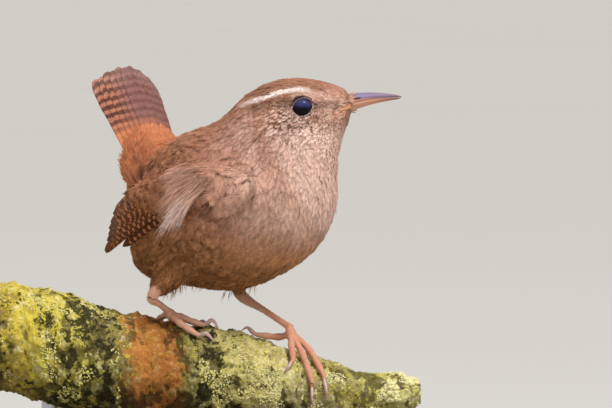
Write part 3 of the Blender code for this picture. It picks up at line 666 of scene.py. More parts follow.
BROW_LINE = ((-11.5, 1.6), (-6.4, 3.0), (-2.0, 4.6), (2.0, 5.3), (4.6, 5.2), (7.0, 4.0), (9.0, 3.3))
STRIPE_LINE = ((0.2, 2.2), (-3.4, 2.3), (-8.0, 0.9))
LORE_LINE = ((6.2, 1.5), (11.0, 1.7))
CROWN_LINE = ((-10.0, 3.6), (-3.0, 6.3), (3.0, 7.0), (8.0, 5.6))
GAPE_LINE = ((14.8, 1.2), (12.6, 0.3), (11.0, -0.3))
CHEEK_LINE = ((8.6, -1.2), (4.0, -3.6), (-1.0, -4.0))


def markings(points):
    """Shares of each marking: brow, pale, dark, rufous, then bars, mottle, olive, dusk."""
    body, head = in_body(points), in_head(points)
    f, s, u = body[:, 0], np.abs(body[:, 1]), body[:, 2]
    hf, hs, hu = head[:, 0], np.abs(head[:, 1]), head[:, 2]
    on_head = smooth_step(-14.0, -7.0, hf + 0.6 * hu)
    side = smooth_step(2.2, 4.2, hs)
    brow = line_share(hf, hu, BROW_LINE, 0.5) * side
    brow *= 1.0 - 0.8 * smooth_step(2.8, 6.0, hf)
    brow *= smooth_step(10.5, 8.0, hf) * smooth_step(-13.5, -9.0, hf)
    ahead = f - 0.45 * s
    front = 0.52 * smooth_step(-14.0, 5.0, ahead) + 0.48 * smooth_step(11.0, 21.0, ahead)
    pale = front * smooth_step(-20.0, -1.0, u) * smooth_step(22.0, 9.0, u - 0.9 * f) * (1.0 - on_head)
    pale *= 1.0 - 0.5 * smooth_step(10.0, 16.0, s) * smooth_step(15.0, 6.0, f)
    throat = smooth_step(-0.5, -6.5, hu) * smooth_step(-9.0, 5.0, hf)
    ring = smooth_step(4.3, 2.9, np.hypot(hf - 3.5, hu - 1.4)) * side
    pale = np.maximum(pale, np.maximum(throat, 0.42 * ring) * on_head)
    cheek = np.exp(-(((hf - 3.0) / 7.5) ** 2) - ((hu + 2.4) / 4.0) ** 2)
    pale = np.maximum(pale, 0.4 * cheek * on_head)
    lore = np.exp(-(((hf - 10.5) / 4.0) ** 2) - ((hu - 0.8) / 4.0) ** 2)
    pale = np.maximum(pale, 0.6 * lore * on_head)
    dark = 0.62 * line_share(hf, hu, STRIPE_LINE, 1.35)
    dark = np.maximum(dark, 0.6 * line_share(hf, hu, LORE_LINE, 0.95))
    dark = np.maximum(dark, 0.34 * line_share(hf, hu, CROWN_LINE, 1.0))
    dark = np.maximum(dark, 0.26 * line_share(hf, hu, CHEEK_LINE, 0.8))
    dark = dark * side * (1.0 - brow)
    tail_gap = np.linalg.norm(points - TAIL_ROOT - 6.0 * TAIL_BACK, axis=1)
    edge = u - 0.97 * f + 2.0 * (lattice_noise(points, 1.6, 2) - 0.5)
    rufous = np.maximum(smooth_step(20.0, 8.0, tail_gap), smooth_step(-10.0, -15.0, f))
    rufous = rufous * smooth_step(26.0, 28.0, edge - 0.12 * s)
    corner = 0.4 * line_share(hf, hu, GAPE_LINE, 0.9) * (hs > 1.2)
    rufous = np.maximum(rufous, corner)
    shoulder = smooth_step(0.0, -7.0, f) * smooth_step(7.0, 11.0, s) * smooth_step(-9.0, -4.0, u)
    rufous = np.maximum(rufous, 0.3 * shoulder * smooth_step(14.0, 6.0, u))
    below = smooth_step(3.0, -10.0, u) * smooth_step(14.0, 0.0, f)
    behind = smooth_step(-4.0, -18.0, f) * smooth_step(9.0, -4.0, u)
    upper = 0.35 * smooth_step(2.0, -12.0, f) * smooth_step(6.0, 12.0, u)
    upper = (upper + 0.85 * shoulder) * smooth_step(1.0, 0.4, rufous)
    bars = np.clip(np.maximum(below, behind) + upper, 0.0, 1.0) * (1.0 - on_head)
    mottle = np.exp(-(((hf - 1.5) / 9.5) ** 2) - ((hu + 2.5) / 6.0) ** 2)
    # Painted shadow: a dark line on each side of the body along the folded wing's lower edge, where the wing
    # shades the flank.
    gap = line_share(f, u, ((5.5, 6.0), (1.6, 2.2), (-2.5, -2.2)), 1.3) * (s > 9.0)
    dark = np.maximum(dark, 0.85 * gap)
    olive = smooth_step(0.0, -12.0, u + 0.1 * f) * (1.0 - on_head)
    # Darker towards the underside of the body: partly the vent's own deep brown, partly painted shade under
    # the body.
    underside_dark_and_shade = smooth_step(-6.0, -16.5, u + 0.25 * f) * (1.0 - on_head)
    first = np.stack((brow, pale, dark, rufous), axis=1)
    second = np.stack((bars, mottle, olive, underside_dark_and_shade), axis=1)
    return first, second


def bar_pattern(points):
    """Dark cross bars and streaks, wavy and broken, from 0 to 1."""
    body = in_body(points)
    warp = 2.6 * lattice_noise(points, 4.0, 3) + 1.1 * lattice_noise(points, 1.4, 5)
    phase = (body[:, 0] + 0.5 * body[:, 2]) * 2 * math.pi / 2.3 + 2.2 * warp
    broken = lattice_noise(points, 2.4, 8)
    return smooth_step(0.0, 0.9, np.sin(phase)) * smooth_step(0.25, 0.6, broken)


def unwrapped(points):
    """Places on an unwrap of the skin: turn round the spine, and distance along it."""
    index = spine_near(points)
    place, way = SPINE_PLACES[index], SPINE_WAYS[index]
    offset = points - place
    along = index * np.linalg.norm(SPINE_PLACES[1] - SPINE_PLACES[0]) + (offset * way).sum(axis=1)
    side = unit(np.cross(np.array((0.0, 0.0, 1.0)), way) + 1e-6)
    up = np.cross(way, side)
    turn = np.arctan2((offset * side).sum(axis=1), (offset * up).sum(axis=1))
    flat = np.stack((0.5 + 0.48 * turn / math.pi, (along + 36.0) / 96.0), axis=1)
    return np.clip(flat, 0.01, 0.99)


# Plumes


def barb(start, end, bow, width):
    """One thin, tapered strip in a plume's own plane, along x with y across."""
    start, end = np.array(start), np.array(end)
    way = end - start
    square = np.array((-way[1], way[0])) / max(np.linalg.norm(way), 1e-6)
    middle = start + 0.55 * way + bow * square
    half = 0.5 * width * square
    return [start - half, start + half, middle + half, middle - half, end]


def plume_pattern(rng, aspect, barbs, leaf, spread, width, forward):
    """A plume's points as (along, across, height, tone) and its triangles."""
    points, faces = [], []
    if leaf > 0.0:
        for along, half in ((0.0, 0.3), (0.32, 0.75), (0.62, 0.85), (0.86, 0.42)):
            for across, lift in ((-half, 0.0), (0.0, 0.16), (half, 0.0)):
                points.append((along, leaf * across, lift, 0.5))
        faces += grid_triangles(4, 3).tolist()
    for k in range(barbs):
        side = 1.0 if k % 2 else -1.0
        share = (k + rng.uniform(0.0, 1.0)) / barbs
        start = 0.1 + (0.95 - forward) * share
        reach = math.sin(math.pi * min(0.18 + 0.66 * share, 0.97)) ** 0.7
        end = start + forward * rng.uniform(0.8, 1.2)
        across = side * aspect * spread * reach * rng.uniform(0.7, 1.12)
        if share > 0.9:
            across *= rng.uniform(-0.4, 0.9)
        base = len(points)
        strip = barb((start, 0.0), (end, across), -side * 0.05 * rng.uniform(0.3, 1.2), width)
        lift, tone = rng.uniform(0.0, 0.16), rng.uniform(0.0, 1.0)
        for n, (along, wide) in enumerate(strip):
            points.append((along, wide / aspect, 0.12 + lift * (n > 1), tone))
        faces += [(base, base + 1, base + 2), (base, base + 2, base + 3), (base + 3, base + 2, base + 4)]
    return np.array(points), np.array(faces)[:, ::-1]


PLUME_KINDS = {
    "body": dict(aspect=0.22, barbs=20, leaf=0.7, spread=1.1, width=0.02, forward=0.32),
    "face": dict(aspect=0.24, barbs=9, leaf=0.75, spread=0.95, width=0.04, forward=0.3),
    "strand": dict(aspect=0.07, barbs=6, leaf=0.0, spread=1.0, width=0.011, forward=0.86),
    "loose": dict(aspect=0.12, barbs=16, leaf=0.0, spread=1.1, width=0.011, forward=0.5),
}
PATTERNS_A_KIND = 6


def plume_patterns(kind, seed):
    rng = np.random.default_rng(seed)
    return [plume_pattern(rng, **PLUME_KINDS[kind]) for _ in range(PATTERNS_A_KIND)]


class Plumage:
    """Many plumes gathered in arrays before they become joined meshes."""

    def __init__(self, seed):
        self.rng = np.random.default_rng(seed)
        self.groups = []

    def lay(self, kind, paths, normals, widths, camber=0.25, soft=0.75, hues=None):
        """Adds plumes whose middles run through three places each, with normals there."""
        marks = [markings(paths[:, k]) for k in range(3)]
        if hues is not None:
            marks = [hues(paths[:, k], first, second) for k, (first, second) in enumerate(marks)]
        bars = np.stack([bar_pattern(paths[:, k]) for k in range(3)], axis=1)
        root = unwrapped(paths[:, 0])
        chance = self.rng.uniform(0.0, 1.0, len(paths))
        which = self.rng.integers(0, PATTERNS_A_KIND, len(paths))
        for number, (shape, faces) in enumerate(plume_patterns(kind, len(kind))):
            chosen = np.nonzero(which == number)[0]
            if len(chosen) == 0:
                continue
            t, across, lift, tone = shape.T
            first = (1 - t) * (1 - 2 * t)
            second, third = 4 * t * (1 - t), t * (2 * t - 1)
            path, normal = paths[chosen], normals[chosen]
            place = sum(w[None, :, None] * path[:, k, None, :] for k, w in enumerate((first, second, third)))
            way = sum(
                w[None, :, None] * path[:, k, None, :]
                for k, w in enumerate((4 * t - 3, 4 - 8 * t, 4 * t - 1))
            )
            upright = unit(self.between(normal, t))
            side = unit(np.cross(upright, way))
            wide = widths[chosen][:, None, None] * across[None, :, None]
            rise = widths[chosen][:, None, None] * (lift - camber * across**2)[None, :, None]
            points = place + side * wide + upright * rise
            tilt = np.clip(across, -1.0, 1.0)[None, :, None] * side
            shade = unit(soft * upright + (1.0 - soft) * (upright + 1.2 * tilt))
            mark = [self.between(np.stack([m[j][chosen] for m in marks], axis=1), t) for j in (0, 1)]
            own = np.empty((len(chosen), len(t), 4))
            own[..., 0] = t[None, :]
            own[..., 1] = tone[None, :]
            own[..., 2] = self.between(bars[chosen][:, :, None], t)[..., 0]
            own[..., 3] = chance[chosen][:, None]
            patch = root[chosen][:, None, :] + 0.0015 * np.stack((across, 2 * t - 1), axis=1)[None]
            self.groups.append((points, faces, mark[0], mark[1], own, shade, patch))

    @staticmethod
    def between(values, t):
        """Values at a plume's root, middle and tip, read at places along it."""
        t = np.clip(t, 0.0, 1.0)
        low = np.clip(1 - 2 * t, 0.0, 1.0)
        high = np.clip(2 * t - 1, 0.0, 1.0)
        middle = 1.0 - low - high
        return sum(w[None, :, None] * values[:, k, None, :] for k, w in enumerate((low, middle, high)))

    def pieces(self, name, limit=190000):
        """Joined meshes of at most so many triangles each."""
        made, batch, count = [], [], 0
        for group in self.groups:
            size = group[0].shape[0] * len(group[1])
            if batch and count + size > limit:
                made.append(self.joined_mesh(f"{name}_{len(made) + 1}", batch))
                batch, count = [], 0
            batch.append(group)
            count += size
        made.append(self.joined_mesh(f"{name}_{len(made) + 1}", batch))
        return made

    @staticmethod
    def joined_mesh(name, batch):
        arrays = [[] for _ in range(7)]
        start = 0
        for points, faces, hue, grain, own, shade, patch in batch:
            many, size = points.shape[:2]
            offsets = start + size * np.arange(many)[:, None, None]
            start += many * size
            arrays[0].append(points.reshape(-1, 3))
            arrays[1].append((faces[None] + offsets).reshape(-1, 3))
            for slot, values in zip(arrays[2:], (hue, grain, own, shade, patch)):
                slot.append(values.reshape(-1, values.shape[-1]))
        points, triangles, hue, grain, own, shade, patch = [np.concatenate(a) for a in arrays]
        marks = {"hue": hue, "grain": grain, "plume": own}
        return array_mesh(name, points, triangles, marks, shade, patch)


def scattered(piece, spacing, keep, seed, crowd=2.6):
    """Places spread evenly over a mesh, as close together as spacing() says."""
    rng = np.random.default_rng(seed)
    mesh = piece.data
    mesh.calc_loop_triangles()
    corner = np.empty(len(mesh.vertices) * 3)
    mesh.vertices.foreach_get("co", corner)
    corner = corner.reshape(-1, 3) / MILLIMETRE
    faces = np.empty(len(mesh.loop_triangles) * 3, dtype=np.int32)
    mesh.loop_triangles.foreach_get("vertices", faces)
    faces = corner[faces.reshape(-1, 3)]
    area = 0.5 * np.linalg.norm(np.cross(faces[:, 1] - faces[:, 0], faces[:, 2] - faces[:, 0]), axis=1)
    middle = faces.mean(axis=1)
    wanted = area / spacing(middle) ** 2 * keep(middle)
    count = int(crowd * wanted.sum())
    chosen = rng.choice(len(faces), count, p=wanted / wanted.sum())
    a, b = rng.uniform(0, 1, (2, count))
    flip = a + b > 1.0
    a, b = np.where(flip, 1 - a, a), np.where(flip, 1 - b, b)
    tri = faces[chosen]
    points = tri[:, 0] + a[:, None] * (tri[:, 1] - tri[:, 0]) + b[:, None] * (tri[:, 2] - tri[:, 0])
    reach = spacing(points)
    tree = KDTree(count)
    for i, point in enumerate(points):
        tree.insert(point, i)
    tree.balance()
    free = np.ones(count, dtype=bool)
    kept = []
    for i in range(count):
        if free[i]:
            kept.append(i)
            for _, j, _ in tree.find_range(points[i], reach[i]):
                free[j] = False
    return points[kept]


def turned(vectors, axes, angles):
    """Vectors turned about axes they are square to."""
    return (
        np.cos(angles)[:, None] * vectors + np.sin(angles)[:, None] * np.cross(axes, vectors)
    )


def paths_over(tree, roots, length, low, high, stray, rng):
    """Paths of plumes that follow a surface: places and normals at root, middle and tip."""
    at_root, up_root = nearest(tree, roots)
    way = turned(lie(at_root, up_root), up_root, rng.normal(0.0, stray, len(roots)))
    at_middle, up_middle = nearest(tree, at_root + 0.5 * length[:, None] * way)
    onward = lie(at_middle, up_middle)
    onward = unit(0.6 * onward + 0.4 * way)
    at_tip, up_tip = nearest(tree, at_middle + 0.5 * length[:, None] * onward)
    spread = rng.normal(1.0, 0.16, len(roots))[:, None]
    paths = np.stack(
        (
            at_root - 0.12 * up_root,
            at_middle + (low * spread[:, 0])[:, None] * up_middle,
            at_tip + (high * spread[:, 0])[:, None] * up_tip,
        ),
        axis=1,
    )
    return paths, np.stack((up_root, up_middle, up_tip), axis=1)


# Finishes


def plumage_finish(looks, name="plumage"):
    """Brown, buff and barred plumage, whose markings the skin and the coat share."""
    made = Finish(name, Roughness=0.9, Specular_IOR_Level=0.05)
    hue, grain = made.attribute("hue"), made.attribute("grain")
    brow, pale, dark = made.parts(hue)
    rufous = made.attribute("hue", "Alpha")
    bars, mottle, olive = made.parts(grain)
    underside_dark_and_shade = made.attribute("grain", "Alpha")
    own = made.attribute("plume")
    along, tone, pattern = made.parts(own)
    chance = made.attribute("plume", "Alpha")
    places = made.places()
    patches = made.noise(places, 2.2, 3.0, 0.6)
    fine = made.noise(places, 1.0, 4.0, 0.7)
    speck = made.noise(places, 0.4, 2.0, 0.6)
    dusky, deep_brown_and_shade = tuple(looks.dusky), tuple(looks.deep_brown_and_shade)
    cream = tuple(looks.cream)
    colour = made.mix(pale, tuple(looks.back), tuple(looks.breast))
    colour = made.mix(olive * (0.95 - 0.3 * pale), colour, tuple(looks.flank))
    colour = made.mix(rufous * 0.92, colour, tuple(looks.rufous))
    light = made.steps(fine + 0.3 * (chance - 0.5), 0.5, 0.66) * (mottle + 0.3 * pale)
    colour = made.mix(light * 0.56, colour, cream)
    streaks = made.steps(fine + 0.3 * (chance - 0.5), 0.52, 0.36) * mottle
    colour = made.mix(streaks * 0.62, colour, dusky)
    spots = made.steps(speck + 0.25 * (chance - 0.5), 0.46, 0.34) * (mottle + 0.16)
    colour = made.mix(spots * 0.66, colour, dusky)
    colour = made.mix(bars * pattern * (0.72 - 0.4 * pale), colour, dusky)
    chosen = made.steps(chance, 0.35, 0.5) * bars
    spot = made.steps(along, 0.6, 0.72) * made.steps(along, 0.93, 0.86) * chosen
    colour = made.mix(spot * (0.85 - 0.6 * pale), colour, dusky)
    # Underside darkening: partly the vent's deep brown, partly painted shade under the body.
    colour = made.mix(underside_dark_and_shade * (0.15 + 0.95 * patches), colour, deep_brown_and_shade)
    buff = made.steps(fine + 0.5 * (chance - 0.5), 0.52, 0.62) * (0.3 * olive + bars)
    buff = buff * 0.5 + made.steps(along, 0.87, 0.95) * chosen
    colour = made.mix(buff * (0.75 - 0.5 * pale), colour, tuple(looks.buff))
    smudge = made.steps(patches + 0.3 * (chance - 0.5), 0.3, 0.6)
    # The dark share holds the face's stripes and a painted shadow line under each wing's edge.
    colour = made.mix(dark * (0.35 + 0.65 * smudge), colour, dusky)
    colour = made.mix(brow * (0.68 + 0.32 * made.steps(fine, 0.3, 0.55)), colour, cream)
    spread = (0.2 - 0.12 * pale) * (chance - 0.5)
    # Painted shade and highlight: each feather darkens towards its root, where the next feathers shade it,
    # and brightens at its tip. The per-feather spread, the barb tone and the noises are the feathers' own
    # tone.
    shade = 0.72 + 0.32 * made.steps(along, 0.0, 0.75) + spread + 0.5 * (tone - 0.5)
    broad = made.noise(places, 4.6, 3.0, 0.6)
    shade = shade + 0.55 * (patches - 0.5) + (0.3 + 0.4 * olive) * (broad - 0.5)
    colour = made.node("ShaderNodeVectorMath", {"operation": "SCALE"}, {0: colour, "Scale": shade})
    fibre = made.noise(made.places(), 0.22, 1.0)
    return made.feed(Base_Color=colour, Normal=made.bump(fibre, 0.05, 0.5))


def vane_finish(looks, name, base, bar, period, first_bar, edge, low=0.1, shift=2.2, lines=1.0):
    """Barred vanes: colour along and across each feather from its own attribute."""
    made = Finish(name, Roughness=0.7, Specular_IOR_Level=0.12)
    own = made.attribute("plume")
    along, across, length = made.parts(own)
    chance = made.attribute("plume", "Alpha")
    pale_tip, barred, rust = made.parts(made.attribute("hue"))
    places = made.places()
    rough = made.noise(places, 1.9, 3.0)
    fine = made.noise(places, 0.6, 3.0)
    distance = along * length * 40.0
    phase = distance * (2 * math.pi / period) + shift * chance + 4.0 * (rough - 0.5)
    wave = made.steps(phase.sine() + 2.0 * (fine - 0.5), low, low + 0.55)
    wave = wave * made.steps(along, first_bar - 0.12, first_bar + 0.12) * barred
    if "wing" in name:
        shaft_gap = made.steps((across - 0.5).size() + 0.5 * (fine - 0.5), 0.03, 0.16)
        wave = wave * shaft_gap * made.steps(along, 0.985, 0.9)
    colour = made.mix(0.8 * rough + 0.7 * (chance - 0.5), tuple(base), tuple(edge))
    near_root = made.steps(along + 0.2 * (fine - 0.5), first_bar + 0.08, first_bar - 0.12)
    warm = rust + near_root * (1.0 if "tail" in name else 0.25)
    colour = made.mix(warm, colour, tuple(looks.rufous))
    colour = made.mix(wave * 0.88, colour, tuple(bar))
    middle = made.steps((across - 0.5).size(), 0.36, 0.16) * made.steps(along, 0.4, 0.7)
    colour = made.mix(middle * pale_tip, colour, tuple(looks.dusky))
    tip = made.steps(along + 0.2 * (across - 0.5).size(), 0.9, 1.0) * pale_tip
    colour = made.mix(tip, colour, tuple(looks.cream))
    rachis = made.steps((across - 0.5).size(), 0.035, 0.012)
    colour = made.mix(rachis * (0.5 * lines), colour, tuple(looks.dusky))
    rim = made.steps((across - 0.5).size(), 0.4, 0.5)
    shade = (0.5 + 0.75 * fine) * (1.0 - 0.3 * lines * rim) + 0.35 * (rough - 0.5)
    colour = made.node("ShaderNodeVectorMath", {"operation": "SCALE"}, {0: colour, "Scale": shade})
    barbs = (distance * 16.0 + (across - 0.5).size() * 34.0).sine()
    return made.feed(Base_Color=colour, Normal=made.bump(0.5 * barbs + fine, 0.05, 0.45))


# Skin

# Places in the head's frame where the skin lies deeper, with reach and depth
HEAD_TRIMS = (((14.6, 0.0, -3.4), 3.4, 1.25), ((13.6, 0.0, 4.4), 2.4, 0.5))


def build_skin(looks):
    """One skin under the coat, from copies of the flesh nodes."""
    parts = twins(FLESH + ("eye_right", "eye_left"), "skin_part")
    root = extruded("skin_part", tail_core_rings())
    skin = joined(parts + [root], "skin")
    bpy.ops.object.mode_set(mode="EDIT")
    bpy.ops.mesh.select_all(action="SELECT")
    bpy.ops.mesh.remove_doubles(threshold=1e-6)
    bpy.ops.object.mode_set(mode="OBJECT")
    with_modifier(skin, "DISPLACE", strength=0.3 * MILLIMETRE, mid_level=0.0)
    with_modifier(skin, "REMESH", mode="VOXEL", voxel_size=0.45 * MILLIMETRE)
    with_modifier(skin, "SMOOTH", factor=0.5, iterations=14)
    mesh = skin.data
    places, normals = vertex_arrays(mesh)
    depth = coat_depth(places) + 0.35
    for spot, reach, more in HEAD_TRIMS:
        gap = np.linalg.norm(places - from_head(spot), axis=1)
        depth += more * np.exp(-((gap / reach) ** 2))
    places = places - depth[:, None] * normals
    places += muzzle(places)[:, None] * BILL_FORWARD
    set_places(mesh, places)
    mesh.update()
    with_modifier(skin, "SMOOTH", factor=0.5, iterations=3)
    bpy.ops.object.shade_smooth()
    places, _ = vertex_arrays(skin.data)
    first, second = markings(places)
    same = np.ones(len(places))
    own = np.stack((0.4 * same, 0.5 * same, bar_pattern(places), 0.4 * same), axis=1)
    for key, values in (("hue", first), ("grain", second), ("plume", own)):
        set_marks(skin.data, key, values)
    dress(skin, plumage_finish(looks, "plumage_skin"))
    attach(skin, "root")
    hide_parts(*FLESH)
    return skin


def muzzle(places):
    """How far the skin is drawn forward round the bill's root."""
    offset = places - BILL_BASE
    ahead = offset @ BILL_FORWARD
    across = np.linalg.norm(offset - ahead[:, None] * BILL_FORWARD, axis=1)
    return 2.3 * np.exp(-((across / 2.35) ** 2)) * smooth_step(-3.5, -0.8, ahead)


def vertex_arrays(mesh):
    places = np.empty(len(mesh.vertices) * 3)
    mesh.vertices.foreach_get("co", places)
    normals = np.empty(len(mesh.vertices) * 3)
    mesh.vertices.foreach_get("normal", normals)
    return places.reshape(-1, 3) / MILLIMETRE, normals.reshape(-1, 3)


def tail_core_rings():
    """The fleshy root of the tail."""
    rings = []
    angles = 2 * math.pi * np.arange(20) / 20
    for along, half, thick in ((-5.0, 5.2, 3.8), (0.0, 4.9, 3.4), (3.5, 4.4, 2.4), (7.5, 3.4, 0.8)):
        middle = TAIL_ROOT + along * TAIL_BACK
        across = half * np.cos(angles)[:, None] * TAIL_ACROSS
        rings.append(middle + across + thick * np.sin(angles)[:, None] * TAIL_ABOVE)
    return rings


# Small feathers


def eye_axis(side):
    """The way in which an eye looks."""
    return axes_of(HEAD_YAW + (80.0 if side == "left" else -80.0))[0]


def bare_places(points):
    """1 where small feathers grow, 0 on eyes, bill's root, mouth corners and low legs."""
    keep = np.ones(len(points))
    for side, bare in (("right", 4.4), ("left", 2.2)):
        gap = np.linalg.norm(points - np.array(LEGS[side][1]), axis=1)
        keep *= smooth_step(bare - 0.6, bare + 0.6, gap)
    for side, eye in EYES.items():
        axis = eye_axis(side)
        out = (points - eye) @ axis
        gap = np.linalg.norm(points - eye - out[:, None] * axis, axis=1)
        keep *= 1.0 - (gap < 2.42) * (out > 0.0)
    offset = points - BILL_BASE
    ahead = offset @ BILL_FORWARD
    across = np.hypot(offset @ BILL_SIDE, offset @ BILL_UP)
    keep *= 1.0 - (ahead > -1.2) * (across < 1.7)
    rise = offset @ BILL_UP - 0.38 * ahead
    keep *= 1.0 - (ahead > -3.0) * (np.abs(rise) < 0.55) * (np.abs(offset @ BILL_SIDE) > 1.0)
    return keep


def build_coat(looks):
    """Small feathers over the whole skin, and the fuller ones over the wings' roots."""
    skin = bpy.data.objects["skin"]
    tree = surface_of(skin)
    rng = np.random.default_rng(11)
    plumage = Plumage(5)

    def spacing(points):
        return 0.166 * plume_length(points) ** 0.8 * looks.coat_spacing

    roots = scattered(skin, spacing, lambda p: bare_places(p) * wing_clear(p), 21)
    length = plume_length(roots)
    face = length < 2.3
    for kind, chosen, wide in (("face", face, 0.24), ("body", ~face, 0.22)):
        here = roots[chosen]
        size = length[chosen] * rng.uniform(0.85, 1.2, len(here))
        depth = coat_depth(here)
        paths, normals = paths_over(tree, here, size, 0.66 * depth, 0.9 * depth, 0.13, rng)
        plumage.lay(kind, paths, normals, wide * size, camber=0.12)
    paths, normals, size = rump_paths(tree, rng)
    plumage.lay("body", paths, normals, 0.26 * size)
    made = plumage.pieces("small_feathers")
    finish = plumage_finish(looks)
    for piece in made:
        dress(piece, finish)
        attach(piece, "root")
    print("small feathers", len(roots), [len(p.data.polygons) for p in made])


def rump_paths(tree, rng, count=420):
    """Longer feathers of the rump, which lie up both sides of the tail's root."""
    spots = np.stack(
        [rng.uniform(low, high, count) for low, high in ((-2.0, 6.0), (5.0, 11.8), (-2.5, 3.0))], axis=1
    )
    spots[:, 1] *= np.where(rng.uniform(0, 1, count) < 0.75, -1.0, 0.6)
    spots[:, 0] -= 3.0 * (spots[:, 1] > 0.0)
    guess = TAIL_ROOT + spots @ np.stack((TAIL_BACK, TAIL_ACROSS, TAIL_ABOVE))
    root, normal = nearest(tree, guess)
    size = rng.uniform(6.5, 9.5, count) * np.where(spots[:, 1] > 0.0, 0.4, 1.0)
    inward = -np.sign(spots[:, 1:2]) * TAIL_ACROSS
    way = unit(TAIL_BACK + 0.12 * inward + rng.normal(0.0, 0.1, (count, 3)))
    middle = root + 0.5 * size[:, None] * way + 0.7 * normal
    tip = root + size[:, None] * way + 0.2 * normal
    paths = np.stack((root - 0.1 * normal, middle, tip), axis=1)
    normals = np.stack((normal, normal, unit(normal - 0.4 * inward)), axis=1)
    return paths, normals, size


# Wings

# Lower edge of the mantle over each wing, forward and up in the body's frame
MANTLE_EDGE = (
    (-40.0, 5.0), (-19.6, 4.4), (-15.6, 4.8), (-12.9, 4.2), (-10.0, 2.6), (-7.5, 1.2),
    (-3.6, 0.8), (1.6, 3.2), (5.5, 6.4), (9.0, 7.4), (12.0, 7.0),
)
SIDE_STEP = 1.0
SIDE_FROM = (-42.0, -26.0)
SIDE_COUNT = (66, 56)


def body_side_table():
    """How far out the body's side lies, on an even grid in the body's frame."""
    tree = surface_of(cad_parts["torso"])
    table = np.zeros(SIDE_COUNT)
    way = Vector(BODY_AXES[1])
    for i in range(SIDE_COUNT[0]):
        for j in range(SIDE_COUNT[1]):
            start = from_body((SIDE_FROM[0] + i * SIDE_STEP, -32.0, SIDE_FROM[1] + j * SIDE_STEP))
            place = tree.ray_cast(start, way)[0]
            if place is not None:
                table[i, j] = max(0.0, -in_body(np.array(place))[1])
    return table


class WingSheet:
    """The rounded sheet that a folded wing lies on, from the body's side."""

    def __init__(self, side):
        self.side = side
        self.table = body_side_table()

    def bed(self, forward, up):
        a = np.clip((forward - SIDE_FROM[0]) / SIDE_STEP, 0.0, SIDE_COUNT[0] - 1.001)
        b = np.clip((up - SIDE_FROM[1]) / SIDE_STEP, 0.0, SIDE_COUNT[1] - 1.001)
        i, j = a.astype(int), b.astype(int)
        a, b = a - i, b - j
        low = self.table[i, j] * (1 - a) + self.table[i + 1, j] * a
        high = self.table[i, j + 1] * (1 - a) + self.table[i + 1, j + 1] * a
        body = low * (1 - b) + high * b
        forward = np.where(forward < -10.0, -10.0 + 0.78 * (forward + 10.0), forward)
        length, width, height = WING_BED
        left = np.maximum(1.0 - (forward / length) ** 2 - (up / height) ** 2, 0.02)
        return 1.2 * np.log(np.exp(body / 1.2) + np.exp(width * np.sqrt(left) / 1.2))

    def place(self, forward, up, out):
        far = self.bed(forward, up) + 0.45 + out
        return from_body(np.stack((forward, self.side * far, up), axis=-1))


VANE_ALONG = np.array((0.0, 0.1, 0.22, 0.36, 0.5, 0.64, 0.76, 0.86, 0.93, 0.975, 1.0))
VANE_HALF = np.array((0.3, 0.5, 0.72, 0.88, 0.97, 1.0, 0.98, 0.9, 0.72, 0.48, 0.16))
BLUNT_HALF = np.array((0.3, 0.5, 0.72, 0.88, 0.97, 1.0, 1.0, 0.97, 0.9, 0.78, 0.5))
VANE_ACROSS = np.array((-1.0, -0.8, -0.5, -0.2, -0.05, 0.0, 0.05, 0.25, 0.55, 0.82, 1.0))
VANE_SKIN = 0.1


def vane_arrays(
    place, root, tip, width, level, rng, bow=0.0, outer=0.75, tint=(0, 1, 0), cup=0.16,
    halves=VANE_HALF, sink=0.0,
):
    """One flight feather as a thin closed vane with a raised shaft."""
    root, tip = np.array(root, dtype=float), np.array(tip, dtype=float)
    way = tip - root
    length = np.linalg.norm(way)
    square = np.array((-way[1], way[0])) / length
    rows, columns = len(VANE_ALONG), len(VANE_ACROSS)
    t = VANE_ALONG[:, None] + 0.0 * VANE_ACROSS[None, :]
    u = VANE_ACROSS[None, :] + 0.0 * t
    half = 0.5 * width * halves[:, None] * np.where(u < 0, outer, 1.0)
    ragged = rng.normal(0.0, 0.035, t.shape) * (np.abs(u) > 0.9)
    u_wide = u * (1.0 + ragged)
    back = -0.35 * half * u**2 / length * smooth_step(0.6, 1.0, t)
    middle = root + (t + back)[..., None] * way + (bow * np.sin(math.pi * t))[..., None] * square
    flat = middle + (half * u_wide)[..., None] * square
    shaft = 0.11 * (1.0 - 0.7 * t) * (np.abs(u) < 0.01)
    height = level * (0.2 + 0.8 * smooth_step(0.0, 0.3, t)) + cup * (1.0 - u**2) + shaft
    height = height - sink * smooth_step(0.4, 0.05, t)
    top = place(flat[..., 0], flat[..., 1], height).reshape(-1, 3)
    low = place(flat[..., 0], flat[..., 1], height - VANE_SKIN).reshape(-1, 3)
    faces = grid_triangles(rows, columns)
    size = rows * columns
    rim = [j for j in range(columns)]
    rim += [i * columns + columns - 1 for i in range(1, rows)]
    rim += [(rows - 1) * columns + j for j in range(columns - 2, -1, -1)]
    rim += [i * columns for i in range(rows - 2, 0, -1)]
    wall = []
    for a, b in zip(rim, rim[1:] + rim[:1]):
        wall += [(a, b, size + b), (a, size + b, size + a)]
    triangles = np.concatenate((faces, faces[:, ::-1] + size, np.array(wall)))
    chance = rng.uniform(0.0, 1.0)
    own = np.stack((t, 0.5 + 0.5 * u, 0.0 * t + length / 40.0, 0.0 * t + chance), axis=-1).reshape(-1, 4)
    hue = np.tile(np.array((*tint, 1.0)), (size, 1))
    grid = np.stack((t, 0.5 + 0.5 * u), axis=-1).reshape(-1, 2)
    own, hue, grid = (np.tile(part, (2, 1)) for part in (own, hue, grid))
    return np.concatenate((top, low)), triangles, own, hue, grid


